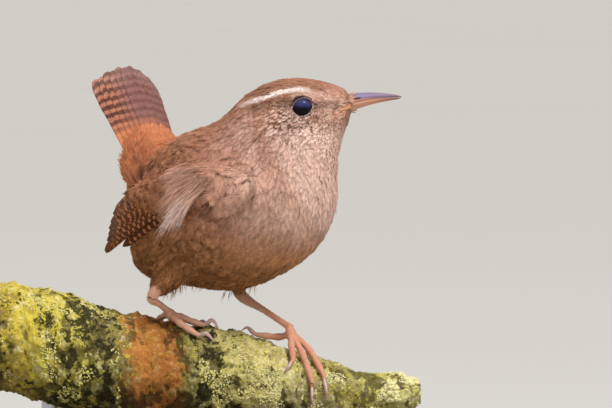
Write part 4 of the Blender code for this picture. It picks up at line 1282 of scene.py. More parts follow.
def vane_piece(name, vanes):
    """A joined mesh of vanes, each with its own plot on the bake map."""
    points, triangles, own, hue, patch = [], [], [], [], []
    start = 0
    columns = int(math.ceil(math.sqrt(4.0 * len(vanes))))
    rows = int(math.ceil(len(vanes) / columns))
    for n, (place, faces, plume, tint, grid) in enumerate(vanes):
        points.append(place)
        triangles.append(faces + start)
        start += len(place)
        own.append(plume)
        hue.append(tint)
        column, row = n % columns, n // columns
        patch.append(
            np.stack(
                (
                    (column + 0.1 + 0.8 * grid[:, 1]) / columns,
                    (row + 0.05 + 0.9 * grid[:, 0]) / rows,
                ),
                axis=1,
            )
        )
    marks = {"plume": np.concatenate(own), "hue": np.concatenate(hue)}
    piece = array_mesh(
        name, np.concatenate(points), np.concatenate(triangles), marks, None, np.concatenate(patch)
    )
    only(piece)
    bpy.ops.object.mode_set(mode="EDIT")
    faces_out()
    return piece


# Folded wing, forward and up in the body's frame: roots and tips of the first and last
# feather of a tier, count, width, first height, step between them, bow, pale tip, bars
WING_TIERS = (
    ((12.5, 8.4), (8.5, 8.0), (-22.0, -9.4), (-29.2, -10.5), 9, 2.9, 0.1, 0.17, -1.4, 0.0, 1.0),
    ((8.0, 7.4), (0.0, 7.6), (-27.2, -7.6), (-23.0, -0.6), 7, 4.2, 1.6, 0.18, -0.8, 0.05, 1.0),
    ((-1.0, 6.8), (-5.5, 6.8), (-21.4, 1.0), (-17.6, 3.0), 3, 4.8, 2.75, 0.24, 0.3, 0.1, 1.0),
    ((5.0, 4.4), (-6.0, 6.8), (-4.5, -2.6), (-15.0, 1.6), 8, 4.0, 2.9, 0.07, 0.2, 0.5, 0.8),
    ((4.0, 6.4), (-2.0, 8.4), (-4.0, 0.4), (-10.5, 3.6), 7, 3.8, 3.4, 0.06, 0.1, 0.6, 0.5),
    ((4.0, 7.6), (1.0, 9.6), (-2.0, 3.2), (-6.0, 6.4), 6, 3.4, 3.7, 0.05, 0.1, 0.3, 0.3),
)


def build_wings(looks):
    """Both folded wings, tier by tier, over the bed that the solids' wings lie on."""
    finish = vane_finish(looks, "plumage_wing", looks.wing, looks.wing_bar, 1.9, 0.14, looks.wing_edge, 0.2)
    for name, side in (("right", -1.0), ("left", 1.0)):
        rng = np.random.default_rng(31)
        sheet = WingSheet(side)
        vanes = []
        for tier in WING_TIERS:
            root_a, root_b, tip_a, tip_b, count, width, level, step, bow, pale, barred = tier
            for i in range(count):
                t = i / (count - 1)
                t = t if bow > -1.0 else 0.08 * t + 0.92 * (i > 2)
                root = np.array(root_a) * (1 - t) + np.array(root_b) * t
                tip = np.array(tip_a) * (1 - t) + np.array(tip_b) * t
                tip = tip + rng.normal(0.0, 0.25, 2)
                vanes.append(
                    vane_arrays(
                        sheet.place,
                        root,
                        tip,
                        width * rng.uniform(0.94, 1.06),
                        level + step * i,
                        rng,
                        bow=bow,
                        sink=3.2,
                        tint=(pale, barred, 0.55 if level > 2.8 else 0.1 + 0.15 * t),
                    )
                )
        wing = vane_piece(f"wing_{name}_feathers", vanes)
        dress(wing, finish)
        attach(wing, "root")
        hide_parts(f"wing_{name}")


def mantle_surface():
    """A smooth surface over the body and the folded wings, to lay feathers on."""
    parts = twins(("torso", "neck", "wing_right", "wing_left"), "cover_part")
    cover = joined(parts, "cover")
    with_modifier(cover, "DISPLACE", strength=0.25 * MILLIMETRE, mid_level=0.0)
    with_modifier(cover, "REMESH", mode="VOXEL", voxel_size=0.6 * MILLIMETRE)
    with_modifier(cover, "SMOOTH", factor=0.5, iterations=24)
    return cover


def build_mantle(looks):
    """Mantle and shoulder feathers over the wings' roots."""
    cover = mantle_surface()
    tree = surface_of(cover)
    skin = surface_of(bpy.data.objects["skin"])
    rng = np.random.default_rng(17)

    def keep(points):
        body = in_body(points)
        edge = np.interp(body[:, 0], *np.array(MANTLE_EDGE).T)
        edge = edge + 2.2 * (lattice_noise(points, 2.0, 6) - 0.5)
        gap = np.array([skin.find_nearest(point)[3] for point in points])
        above = smooth_step(-0.4, 0.6, body[:, 2] - edge)
        above *= smooth_step(11.5, 8.5, body[:, 0])
        facing = nearest(tree, points)[1] @ BODY_AXES[0]
        front = smooth_step(0.15, 0.4, facing) * smooth_step(-12.0, -9.0, body[:, 2]) * (body[:, 0] > -3.0)
        return np.maximum(above, front) * smooth_step(1.9, 2.5, gap) * (body[:, 0] > -24.0)

    def spacing(points):
        return 0.78 * looks.coat_spacing + 0.0 * points[:, 0]

    roots = scattered(cover, spacing, keep, 23)
    size = 5.4 * rng.uniform(0.85, 1.2, len(roots))
    size *= np.interp(in_body(roots)[:, 0], (-20.0, -8.0), (0.75, 1.0))
    paths, normals = paths_over(tree, roots, size, 0.35 + 0.0 * size, 0.65 + 0.0 * size, 0.16, rng)
    plumage = Plumage(6)
    plumage.lay("body", paths, normals, 0.33 * size)
    for piece in plumage.pieces("mantle_feathers"):
        dress(piece, bpy.data.materials["plumage"])
        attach(piece, "root")
    print("mantle", len(roots))
    bpy.data.objects.remove(cover)


# Loose tufts over the wings, forward and up in the body's frame
TUFT_ROOTS = ((1.6, 9.0), (4.0, 8.8), (5.6, 8.0), (5.9, 7.0))
TUFT_TIPS = ((-7.2, 8.6), (-8.8, 4.2), (-7.6, -1.0), (-5.6, -5.0), (-3.2, -3.2))


def build_tufts(looks):
    """Pale, silky, loose feathers that hang over each folded wing."""
    rng = np.random.default_rng(19)
    plumage = Plumage(7)
    count = 210

    def hues(points, first, second):
        first, second = first.copy(), 0.0 * second
        tip = smooth_step(4.0, -8.0, in_body(points)[:, 0] - 0.3 * in_body(points)[:, 2])
        first[:, 0] = 0.08 * tip * smooth_step(3.0, -1.0, in_body(points)[:, 2])
        first[:, 1] = 0.2 + 0.06 * tip
        first[:, 2:] = 0.0
        return first, second

    def white(points, first, second):
        first, second = hues(points, first, second)
        first[:, 0] = 0.04 + 0.9 * smooth_step(2.0, -3.0, in_body(points)[:, 2])
        return first, second

    for side in (-1.0, 1.0):
        sheet = WingSheet(side)
        share = np.sort(rng.uniform(0.0, 1.0, count))
        spread = np.clip(share + rng.normal(0.0, 0.07, count), 0.0, 1.0)
        root_line, tip_line = np.array(TUFT_ROOTS), np.array(TUFT_TIPS)
        root = np.stack([np.interp(spread, np.linspace(0, 1, 4), root_line[:, k]) for k in (0, 1)], axis=1)
        tip = np.stack([np.interp(share, np.linspace(0, 1, 5), tip_line[:, k]) for k in (0, 1)], axis=1)
        root += rng.normal(0.0, 0.8, root.shape)
        reach = rng.uniform(0.62, 1.05, (count, 1))
        tip = root + reach * (tip - root) + rng.normal(0.0, 0.5, root.shape)
        middle = 0.5 * (root + tip) + np.stack((0.0 * share, 1.0 - 0.4 * share), axis=1)
        height = rng.uniform(4.0, 5.0, count)
        flats = (root, middle, tip)
        outs = (0.72 * height, height + 0.3, height - 0.2 * rng.uniform(0, 1, count))
        paths = np.stack([sheet.place(flat[:, 0], flat[:, 1], out) for flat, out in zip(flats, outs)], axis=1)
        normals = []
        for flat, out in zip(flats, outs):
            here = sheet.place(flat[:, 0], flat[:, 1], out)
            ahead = sheet.place(flat[:, 0] + 0.5, flat[:, 1], out) - here
            over = sheet.place(flat[:, 0], flat[:, 1] + 0.5, out) - here
            normals.append(unit(-side * np.cross(ahead, over)))
        normals = np.stack(normals, axis=1)
        long = np.linalg.norm(tip - root, axis=1)
        plumage.lay("loose", paths, normals, 0.6 + 0.0 * long, hues=hues)
        few = rng.choice(count, 46, replace=False, p=(0.06 + share**3) / (0.06 + share**3).sum())
        paths = paths[few] + 0.3 * normals[few]
        plumage.lay("strand", paths, normals[few], 0.06 * long[few], hues=white)
    hang_wisps(plumage, rng)
    for piece in plumage.pieces("loose_tufts"):
        dress(piece, bpy.data.materials["plumage"])
        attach(piece, "root")


# Loose belly feathers that hang below the coat: middle, spread and count
WISPS = (((-8.0, -8.0, 52.6), 1.9, 46), ((-3.0, -7.6, 51.6), 2.2, 30), ((9.6, 1.0, 50.8), 2.0, 26))


def hang_wisps(plumage, rng):
    """Thin loose feathers under the belly."""
    tree = surface_of(bpy.data.objects["skin"])
    for middle, spread, count in WISPS:
        guess = np.array(middle) + rng.normal(0.0, spread, (count, 3)) * (1.0, 1.0, 0.2)
        root, _ = nearest(tree, guess)
        way = unit(np.array((-0.25, 0.0, -1.0)) + rng.normal(0.0, 0.22, (count, 3)))
        long = rng.uniform(1.8, 4.2, count)
        bend = rng.normal(0.0, 0.25, (count, 3))
        paths = np.stack((root, root + 0.5 * long[:, None] * way + bend, root + long[:, None] * way), axis=1)
        normals = np.tile(unit(np.array((0.1, -1.0, 0.1))), (count, 3, 1))
        plumage.lay("strand", paths, normals, 0.07 * long)


def wing_clear(points):
    """0 on the skin that a folded wing hides, 1 elsewhere."""
    body = in_body(points)
    f, s, u = body[:, 0], np.abs(body[:, 1]), body[:, 2]
    middle = 2.4 + 0.42 * (f + 4.0) * 0.9
    hidden = smooth_step(5.4, 3.6, np.abs(u - np.clip(middle, -8.0, 5.4)))
    hidden *= smooth_step(-24.0, -20.0, f) * smooth_step(1.0, -3.0, f) * (s > 8.0)
    return 1.0 - 0.92 * hidden


# Tail


def tail_sheet(along, side, up):
    arch = 1.1 * (2.0 * side / 17.6) ** 2
    along, side, up = [np.asarray(v)[..., None] for v in (along, side, up - arch)]
    return TAIL_ROOT + along * TAIL_BACK + side * TAIL_ACROSS + up * TAIL_ABOVE


def build_tail(looks):
    """Twelve tail feathers in a narrow arched fan, with coverts above and below."""
    rng = np.random.default_rng(41)
    vanes = []
    for i in range(12):
        share = (i - 5.5) / 5.5
        length = 32.2 * (1.0 - 0.08 * share**2 - 0.012 * (i % 2) - 0.015 * share)
        root, tip = (1.5, 5.6 * share), (length, -0.8 + 8.8 * share)
        level = -0.3 * (abs(i - 5.5) - 0.5) + (0.05 if i > 5.5 else 0.0)
        outer = 0.8 if share < 0 else 1.0
        # The near side's outer feathers get more rufous and full bars; the others keep the tail's mauve
        # colour, which is a painted sky sheen on the tail's upper side.
        near = smooth_step(0.0, -0.8, share)
        tint = (0.06, 0.45 + 0.55 * near, 0.5 * near)
        vanes.append(
            vane_arrays(
                tail_sheet, root, tip, 5.0, level, rng, outer=outer, tint=tint, cup=0.2, halves=BLUNT_HALF
            )
        )
    for low_side, count, longest in ((0.0, 11, 16.5), (0.0, 9, 11.5), (1.0, 9, 14.0), (1.0, 7, 9.5)):
        for i in range(count):
            share = 2.0 * i / (count - 1) - 1.0
            length = longest - 2.6 * share**2 + rng.uniform(-0.6, 0.6)
            level = (-2.4 - 0.03 * longest) if low_side else (0.7 + 0.06 * (16.0 - longest))
            level += 0.05 * (i % 2) - 0.3 * share**2
            root, tip = (0.0, 4.8 * share), (length, 6.9 * share + rng.uniform(-0.3, 0.3))
            tint = (0.12, 0.3, 0.7) if low_side else (0.0, 0.1, 0.95)
            vanes.append(
                vane_arrays(tail_sheet, root, tip, 3.6, level, rng, outer=1.0, tint=tint, cup=0.3)
            )
    tail = vane_piece("tail_feathers", vanes)
    finish = vane_finish(
        looks, "plumage_tail", looks.tail, looks.tail_bar, 2.1, 0.52, looks.tail_edge, -0.3, 1.0, 0.3
    )
    dress(tail, finish)
    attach(tail, "root")
    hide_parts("tail")


# Eyes


def build_eyes(looks):
    """Glossy eyeballs with a dark iris, each in a ring of small pale lid scales."""
    made = Finish("eye", Roughness=0.08, Specular_IOR_Level=0.14)
    tone = made.noise(made.places(), 0.6)
    ring, painted_sky_reflection, _ = made.parts(made.attribute("iris"))
    iris = made.mix(tone, linear(34, 20, 16), linear(20, 12, 10))
    colour = made.mix(ring, linear(4, 4, 7), iris)
    # The navy mixed in here is a painted sky reflection on the eye's upper half.
    made.feed(Base_Color=made.mix(painted_sky_reflection * 0.9, colour, linear(58, 60, 104)))
    lids = Finish("eyelid", Roughness=0.6)
    tone = lids.noise(lids.places(), 0.35)
    bead, _, _ = lids.parts(lids.attribute("lid"))
    skin_tone = lids.mix(tone, linear(112, 78, 64), linear(70, 48, 40))
    lids.feed(Base_Color=lids.mix(bead, skin_tone, linear(228, 212, 206)))
    for name, centre in EYES.items():
        axis = eye_axis(name)
        nothing_selected()
        bpy.ops.mesh.primitive_uv_sphere_add(
            segments=48, ring_count=32, radius=EYE_RADIUS * MILLIMETRE
        )
        eye = bpy.context.object
        turn = Vector(axis).to_track_quat("Z", "Y").to_matrix().to_4x4()
        eye.data.transform(turn)
        bpy.ops.object.shade_smooth()
        points, _ = vertex_arrays(eye.data)
        facing = points @ axis / EYE_RADIUS
        points += (0.16 * smooth_step(0.5, 1.0, facing))[:, None] * axis
        set_places(eye.data, points + centre)
        ring = smooth_step(0.80, 0.76, facing)
        rise = points[:, 2] / EYE_RADIUS
        rough = 0.3 * (lattice_noise(points, 1.1, 14) - 0.5)
        # Painted sky reflection: navy over the upper half of the eye's front, fixed to the eyeball.
        painted_sky_reflection = smooth_step(-0.12, 0.3, rise + rough) * smooth_step(0.88, 0.45, rise)
        painted_sky_reflection *= smooth_step(0.5, 0.72, facing)
        mark = np.stack((ring, painted_sky_reflection, ring, ring), axis=1)
        set_marks(eye.data, "iris", mark)
        eye.name = eye.data.name = f"eyeball_{name}"
        dress(eye, made.material)
        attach(eye, "root")
        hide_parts(f"eye_{name}")
        lid = lid_piece(name, centre, axis)
        dress(lid, lids.material)
        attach(lid, "root")


def lid_piece(name, centre, axis):
    """Upper and lower lid round an eye, with a row of pale beads on the rim."""
    up = unit(np.array((0.0, 0.0, 1.0)) - axis[2] * axis)
    across = unit(BILL_FORWARD - (BILL_FORWARD @ axis) * axis)
    rings, count = [], 56
    angles = 2 * math.pi * np.arange(count) / count
    for radius, out in ((2.06, 1.9), (2.13, 2.04), (2.22, 2.06), (2.36, 1.86), (2.52, 1.4), (2.8, 0.5)):
        corner = 1.0 + 0.1 * np.exp(-((angles - math.pi) / 0.35) ** 2)
        corner += 0.05 * np.exp(-((np.minimum(angles, 2 * math.pi - angles)) / 0.3) ** 2)
        squeeze = 1.0 - 0.07 * np.sin(angles) ** 2
        wide = radius * corner * 1.03
        tall = radius * squeeze
        ring = centre + np.cos(angles)[:, None] * wide[:, None] * across
        ring = ring + np.sin(angles)[:, None] * tall[:, None] * up + out * axis
        rings.append(ring)
    points = np.concatenate(rings)
    faces = grid_triangles(len(rings), count, around=True)
    mark = np.zeros((len(points), 4))
    all_points, all_faces, all_marks = [points], [faces], [mark]
    start = len(points)
    shape, corners = ball_shape()
    rng = np.random.default_rng(3)
    for k in range(44):
        angle = 2 * math.pi * (k + rng.uniform(-0.2, 0.2)) / 44
        low = math.sin(angle) < 0.25
        size = rng.uniform(0.12, 0.18) if low else rng.uniform(0.07, 0.1)
        corner = 1.0 + 0.1 * math.exp(-((angle - math.pi) / 0.35) ** 2)
        reach = rng.uniform(2.26, 2.4)
        spot = centre + reach * (math.cos(angle) * corner * 1.03 * across + 0.95 * math.sin(angle) * up)
        spot = spot + 2.05 * axis
        all_points.append(spot + size * shape)
        all_faces.append(corners + start)
        start += len(shape)
        tone = np.zeros((len(shape), 4))
        tone[:, 0] = rng.uniform(0.6, 1.0) if low else 0.25
        all_marks.append(tone)
    return array_mesh(
        f"eyelids_{name}",
        np.concatenate(all_points),
        np.concatenate(all_faces),
        {"lid": np.concatenate(all_marks)},
    )


# Bill


def bill_rings(upper, count=26, sides=18):
    """Rings of one half of the bill, from its root to its tip."""
    rings = []
    length = BILL_LENGTH if upper else BILL_LENGTH - 0.35
    way = 1.0 if upper else -1.0
    for i in range(count):
        t = (i / (count - 1)) ** 0.85
        along = -2.2 + (length + 2.2) * t
        s = max(along / length, 0.0)
        taper = (1.0 - min(s, 1.0)) ** 0.82 * 0.9 + 0.1 * (1.0 - 0.6 * max(0.0, s - 0.96) / 0.04)
        depth = (2.35 if upper else 1.75) * taper
        half = 0.5 * 3.9 * ((1.0 - s) ** 1.15 * 0.92 + 0.07)
        meet = way * 0.06 - 0.8 * s**2 + 0.75 * s + 0.25 * math.sin(math.pi * s)
        ring = []
        for j in range(sides):
            angle = 2 * math.pi * j / sides
            side, rise = math.cos(angle), math.sin(angle)
            if rise >= 0.0:
                arch = depth * rise ** (0.85 if upper else 1.0)
                narrow = 1.0 - 0.25 * rise
                ring.append((along, half * side * narrow, meet + way * arch))
            else:
                ring.append((along, half * side, meet + way * 0.05 * rise))
        ring = np.array(ring)
        rings.append(
            BILL_BASE + ring[:, :1] * BILL_FORWARD + ring[:, 1:2] * BILL_SIDE + ring[:, 2:] * BILL_UP
        )
    return rings


def build_bill(looks):
    """Both halves of the slim, slightly curved bill, with a slit nostril on each side."""
    for half, upper in (("upper", True), ("lower", False)):
        bill = extruded(f"bill_{half}_horn", bill_rings(upper))
        made = Finish(f"bill_{half}", Roughness=0.3, Specular_IOR_Level=0.5, Coat_Weight=0.25)
        made.shader.inputs["Coat Roughness"].default_value = 0.2
        places = made.places()
        grain = made.noise(places, 0.7, 3.0)
        streak = made.noise(made.places((0.2, 1.0, 1.6)), 0.5, 2.0)
        along, _, _ = made.parts(made.attribute("horn"))
        rise = made.parts(made.attribute("horn"))[1]
        if upper:
            # The lilac-blue along the top of the upper bill is a painted sky reflection on the glossy culmen;
            # the lower part keeps the horn's own orange.
            colour = made.ramp(
                along,
                (
                    (0.0, linear(158, 116, 98)),
                    (0.22, linear(124, 108, 150)),
                    (0.7, linear(126, 104, 132)),
                    (1.0, linear(96, 68, 58)),
                ),
            )
            colour = made.mix(made.steps(rise, 0.62, 0.34) * 0.9, colour, linear(216, 150, 116))
        else:
            colour = made.ramp(
                along,
                (
                    (0.0, linear(226, 166, 130)),
                    (0.5, linear(214, 150, 120)),
                    (1.0, linear(120, 82, 66)),
                ),
            )
        colour = made.mix(0.3 * streak, colour, linear(110, 80, 74))
        made.feed(Base_Color=colour, Normal=made.bump(grain, 0.03, 0.3))
        points, _ = vertex_arrays(bill.data)
        offset = points - BILL_BASE
        share = np.clip((offset @ BILL_FORWARD) / BILL_LENGTH, 0.0, 1.0)
        height = np.clip(np.abs(offset @ BILL_UP) / (2.35 * (1.0 - share) + 0.15), 0.0, 1.0)
        mark = np.stack((share, height, share, share), axis=1)
        set_marks(bill.data, "horn", mark)
        dress(bill, made.material)
        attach(bill, "root")
        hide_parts(f"bill_{half}")
    build_gape()


# Middle lines from the bill's root: along it, out to the side and up
NOSTRIL = ((1.0, 1.42, 1.08), (2.2, 1.33, 1.12), (3.3, 1.12, 1.0))
MOUTH_CORNER = ((1.6, 1.4, 0.06), (0.2, 1.84, -0.12), (-1.4, 2.6, -0.6), (-3.0, 3.6, -1.2))
CORNER_LIFT = 0.42


def from_bill(along, side, up):
    return BILL_BASE + along * BILL_FORWARD + side * BILL_SIDE + up * BILL_UP


def build_gape():
    """Slit nostrils, and the soft orange skin at the corners of the mouth."""
    tree = surface_of(bpy.data.objects["skin"])
    dark = Finish("nostril", Roughness=0.7)
    dark.feed(Base_Color=dark.mix(dark.noise(dark.places(), 0.3), linear(96, 64, 56), linear(70, 48, 44)))
    soft = Finish("gape", Roughness=0.45)
    tone = soft.noise(soft.places(), 0.5)
    soft.feed(Base_Color=soft.mix(tone, linear(206, 150, 104), linear(176, 112, 72)))
    for name, way in (("right", -1.0), ("left", 1.0)):
        line = [from_bill(a, way * s, u) for a, s, u in NOSTRIL]
        rings = tube_rings(line, (0.06, 0.24, 0.26, 0.05), 10, BILL_UP, count=12)
        slit = extruded(f"nostril_{name}", rings)
        dress(slit, dark.material)
        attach(slit, "root")
        line = np.array([from_bill(a, way * s, u) for a, s, u in MOUTH_CORNER])
        places, normals = nearest(tree, line[2:])
        line[2:] = places + CORNER_LIFT * normals
        rings = tube_rings(line, (0.1, 0.36, 0.42, 0.42, 0.14), 10, BILL_UP, count=18)
        corner = extruded(f"gape_{name}", rings)
        dress(corner, soft.material)
        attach(corner, "root")


def build_face(looks):
    """Short feathers and bristles that lean forward over the bill's root."""
    tree = surface_of(bpy.data.objects["skin"])
    rng = np.random.default_rng(61)
    plumage = Plumage(9)
    angle = rng.uniform(0.0, 2 * math.pi, 460)
    angle = angle[np.abs(np.sin(angle) + 0.12) > 0.26]
    count = len(angle)
    radius = 1.6 + 1.3 * rng.uniform(0.0, 1.0, count)
    out = np.cos(angle)[:, None] * BILL_SIDE + np.sin(angle)[:, None] * BILL_UP
    high, low = np.clip(np.sin(angle), 0, 1), np.clip(-np.sin(angle), 0, 1)
    guess = BILL_BASE + 0.6 * BILL_FORWARD + radius[:, None] * out
    root, normal = nearest(tree, guess)
    length = rng.uniform(0.7, 1.2, count) * (1.0 + 0.9 * high**2 + 0.35 * low**2)
    lean = np.where(rng.uniform(0, 1, count) < 0.12, 0.3, -0.42)[:, None]
    way = unit(BILL_FORWARD + lean * out + rng.normal(0.0, 0.1, (count, 3)))
    middle = root + 0.5 * length[:, None] * way + 0.2 * out
    tip = root + length[:, None] * way + 0.12 * out
    paths = np.stack((root - 0.1 * normal, middle, tip), axis=1)
    normals = np.stack((normal, unit(normal + out), out), axis=1)

    def hues(points, first, second):
        first = first.copy()
        below = smooth_step(0.0, -1.5, (points - BILL_BASE) @ BILL_UP)
        first[:, 1] = np.maximum(first[:, 1], 0.4 + 0.6 * below)
        return first, second

    plumage.lay("face", paths, normals, 0.16 * length, hues=hues)
    for piece in plumage.pieces("face_feathers"):
        dress(piece, bpy.data.materials["plumage"])
        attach(piece, "root")


# Legs


def scute_radii(stations, count, depth=0.05):
    """Radii along a limb, with the small steps of its scutes."""

    def sizes(share):
        step = (share * count) % 1.0
        return np.interp(share, np.linspace(0, 1, len(stations)), stations) * (1 + depth * (0.5 - step))

    return sizes


def build_legs(looks):
    """Bare shanks, toes with their scutes and pads, and pale curved claws."""
    made = Finish("leg_skin", Roughness=0.5, Specular_IOR_Level=0.4)
    made.shader.inputs["Subsurface Weight"].default_value = 0.0
    places = made.places()
    tone = made.noise(places, 1.6, 3.0)
    grain = made.cells(places, 0.34, "DISTANCE_TO_EDGE")
    colour = made.mix(tone, linear(236, 172, 142), linear(204, 138, 106))
    colour = made.mix(made.steps(grain, 0.12, 0.0) * 0.5, colour, linear(140, 86, 66))
    x, _, z = made.parts(places)
    # Painted light: the legs and feet below x of 12 to 17 mm, which the body shades, are lightened.
    colour = made.mix(made.steps(x, 17.0, 12.0) * 0.28, colour, linear(255, 214, 188))
    # Darker brown towards the top of each shank, where it meets the thigh's feathers.
    colour = made.mix(made.steps(z + 3.0 * tone, 49.0, 52.0) * 0.6, colour, linear(160, 104, 80))
    made.feed(Base_Color=colour, Normal=made.bump(made.steps(grain, 0.0, 0.2), 0.06, 0.7))
    horn = Finish("claw_horn", Roughness=0.35, Coat_Weight=0.2)
    tone = horn.noise(horn.places(), 0.8, 2.0)
    horn.feed(Base_Color=horn.mix(tone, linear(222, 190, 184), linear(170, 132, 126)))
    for side, (hip, heel, end) in LEGS.items():
        heel, end = np.array(heel), np.array(end)
        down = unit(end - heel)
        start = heel + 4.5 * unit(np.array(hip) - heel)
        shank_line = (start, heel, heel + 0.5 * (end - heel), end + 0.2 * down)
        radii = scute_radii((1.6, 1.6, 1.3, 0.95, 0.78, 0.74, 0.76, 0.92), 13)
        shank = extruded(f"shank_{side}", tube_rings(shank_line, radii, 14, count=67))
        dress(shank, made.material)
        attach(shank, "root")
        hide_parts(f"tarsus_{side}")
        joint = end
        first = [branch_place(*places[0]) for places, _ in TOES[side].values()]
        low = sum(first) / len(first)
        pad_line = (joint - 0.4 * down, joint + 0.35 * (low - joint), joint + 0.66 * (low - joint))
        pieces = [extruded("pad", tube_rings(pad_line, (0.86, 1.3, 1.3, 0.9), 14, count=14))]
        for kind, (toe, claw) in TOES[side].items():
            line = [joint + 0.25 * (low - joint)]
            line += [branch_place(x, turn, 1.28 + rise) for x, turn, rise in toe]
            tip = branch_place(*claw[0][:2], 1.04 + 0.4 * claw[0][2])
            tip = line[-1] + 0.35 * (tip - line[-1])
            line.append(tip)
            radii = scute_radii((0.9, 0.86, 0.72, 0.9, 0.7, 0.84, 0.62, 0.42), 12, 0.07)
            pieces.append(extruded("toe", tube_rings(line, radii, 12, count=49)))
            way = unit(tip - line[-2])
            bend = branch_place(*claw[0][:2], 0.87 + claw[0][2])
            point = branch_place(*claw[1][:2], 0.3 + claw[1][2])
            line = (tip - 0.5 * way, tip + 0.3 * way, bend, point)
            rings = tube_rings(line, (0.42, 0.56, 0.5, 0.36, 0.22, 0.05), 10, flat=0.72, count=22)
            nail = extruded(f"nail_{side}_{kind}", rings)
            dress(nail, horn.material)
            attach(nail, "root")
            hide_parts(f"claw_{side}_{kind}")
        foot = joined(pieces, f"toes_{side}")
        dress(foot, made.material)
        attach(foot, "root")
        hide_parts(f"foot_{side}")


# Perch


def bark_finish(looks):
    """Bark in bands along the branch: lichen, rust, black crust and yellow dust."""
    made = Finish("bark", Roughness=0.92, Specular_IOR_Level=0.15)
    places = made.places()
    along, hollow, top = made.parts(made.attribute("bark"))
    wide = made.noise(places, 7.0, 3.0, 0.6)
    middle = made.noise(places, 3.0, 5.0, 0.72)
    small = made.noise(places, 0.8, 4.0, 0.75)
    share = along + 0.13 * (wide - 0.5) + 0.05 * (middle - 0.5)
    base = made.ramp(
        share,
        (
            (0.0, linear(112, 80, 40)),
            (0.08, linear(204, 182, 72)),
            (0.2, linear(190, 178, 80)),
            (0.3, linear(122, 112, 66)),
            (0.335, linear(178, 114, 58)),
            (0.43, linear(152, 94, 44)),
            (0.46, linear(126, 120, 66)),
            (0.55, linear(188, 176, 108)),
            (0.68, linear(210, 202, 142)),
            (0.8, linear(140, 132, 88)),
            (0.9, linear(182, 174, 92)),
            (1.0, linear(206, 204, 146)),
        ),
    )
    marks = ((0.0, 1.0), (0.33, 1.0), (0.345, 0.25), (0.45, 0.25), (0.475, 1.0), (1.0, 1.0))
    open_bark = made.parts(made.ramp(share, marks))[0]
    bare = made.steps(made.noise(places, 4.2, 4.0, 0.7), 0.5, 0.56) * open_bark
    colour = made.mix(bare * 0.5, base, linear(112, 96, 58))
    pale = made.steps(made.noise(places, 2.0, 5.0, 0.75), 0.54, 0.6) * open_bark
    colour = made.mix(pale * 0.7, colour, linear(214, 206, 162))
    dust = made.steps(small + 0.5 * (middle - 0.5), 0.5, 0.6) * open_bark
    colour = made.mix(dust * 0.65, colour, linear(208, 192, 58))
    zone = made.ramp(
        share,
        (
            (0.0, 0.5), (0.12, 0.45), (0.2, 0.9), (0.29, 0.85), (0.34, 0.2),
            (0.45, 0.3), (0.5, 1.0), (0.6, 0.45), (0.75, 0.4), (1.0, 0.15),
        ),
    )
    crust = made.steps(middle + 0.22 * made.parts(zone)[0] + 0.2 * (small - 0.5), 0.67, 0.73)
    colour = made.mix(crust * 0.92, colour, linear(32, 30, 20))
    # Darker in the bark's low hollows.
    colour = made.mix(made.steps(hollow, 0.45, 0.2) * 0.7, colour, linear(52, 44, 26))
    # Painted shade: the bark darkens towards the branch's underside and is lightest on its top, by the top
    # share.
    shade = (0.5 + 1.36 * small) * (0.45 + 0.66 * top)
    colour = made.node("ShaderNodeVectorMath", {"operation": "SCALE"}, {0: colour, "Scale": shade})
    height = 0.5 * middle + 0.6 * small + 0.3 * dust
    return made.feed(Base_Color=colour, Normal=made.bump(height, 0.6, 0.9))


def bark_relief(x, turn):
    """Height of the bark's roughness, and how hollow it is from 0 to 1."""
    places = branch_place(x, turn, 0.0)
    narrow = places * np.array((1.5, 1.0, 1.0))
    kinds = ((6.0, 1), (2.6, 2), (1.2, 4), (0.55, 5))
    noises = [lattice_noise(narrow, size, seed) - 0.5 for size, seed in kinds]
    rough = 1.2 * noises[0] + 1.1 * noises[1] + 0.7 * noises[2] + 0.4 * noises[3]
    crack = np.abs(lattice_noise(narrow, 3.8, 9) - 0.5)
    crack = np.exp(-((crack / 0.035) ** 2)) * smooth_step(0.35, 0.6, lattice_noise(places, 8.0, 3))
    ring = 0.7 * np.exp(-(((x + 16.5 + 2.0 * noises[0]) / 0.8) ** 2))
    return rough - 0.25 * crack + ring, np.clip(0.5 + 0.8 * (rough - 0.3 * crack), 0.0, 1.0)


def build_perch(looks):
    """The cut branch, wrapped from a fine grid and roughened, with its two ends."""
    rows, columns = 400, 220
    nothing_selected()
    bpy.ops.mesh.primitive_grid_add(x_subdivisions=rows, y_subdivisions=columns, size=2.0)
    branch = bpy.context.object
    branch.name = branch.data.name = "perch_bark"
    flat, _ = vertex_arrays(branch.data)
    flat = flat * MILLIMETRE
    share, turn = 0.5 * (flat[:, 0] + 1.0), 180.0 * (flat[:, 1] + 1.0)
    turn = np.where(turn > 359.99, 0.0, turn)
    first, last = BRANCH_STATIONS[0][0], BRANCH_STATIONS[-1][0]
    x = first + (last - first) * share
    rough, hollow = bark_relief(x, turn)
    places = branch_place(x, turn, rough)
    set_places(branch.data, places)
    # Painted shade: 1 on the branch's top, turned 20 degrees towards -Y, falling to 0 underneath.
    top = 0.5 + 0.5 * np.cos(np.radians(turn - 20.0))
    mark = np.stack((share, hollow, top, top), axis=1)
    set_marks(branch.data, "bark", mark)
    branch.data.update()
    only(branch)
    bpy.ops.object.mode_set(mode="EDIT")
    bpy.ops.mesh.select_all(action="SELECT")
    bpy.ops.mesh.remove_doubles(threshold=2e-6)
    bpy.ops.mesh.select_all(action="DESELECT")
    bpy.ops.mesh.select_non_manifold(extend=False)
    bpy.ops.mesh.edge_face_add()
    faces_out()
    bpy.ops.object.shade_smooth()
    dress(branch, bark_finish(looks))
    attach(branch, "root")
    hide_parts("perch_branch")
    build_lichen()


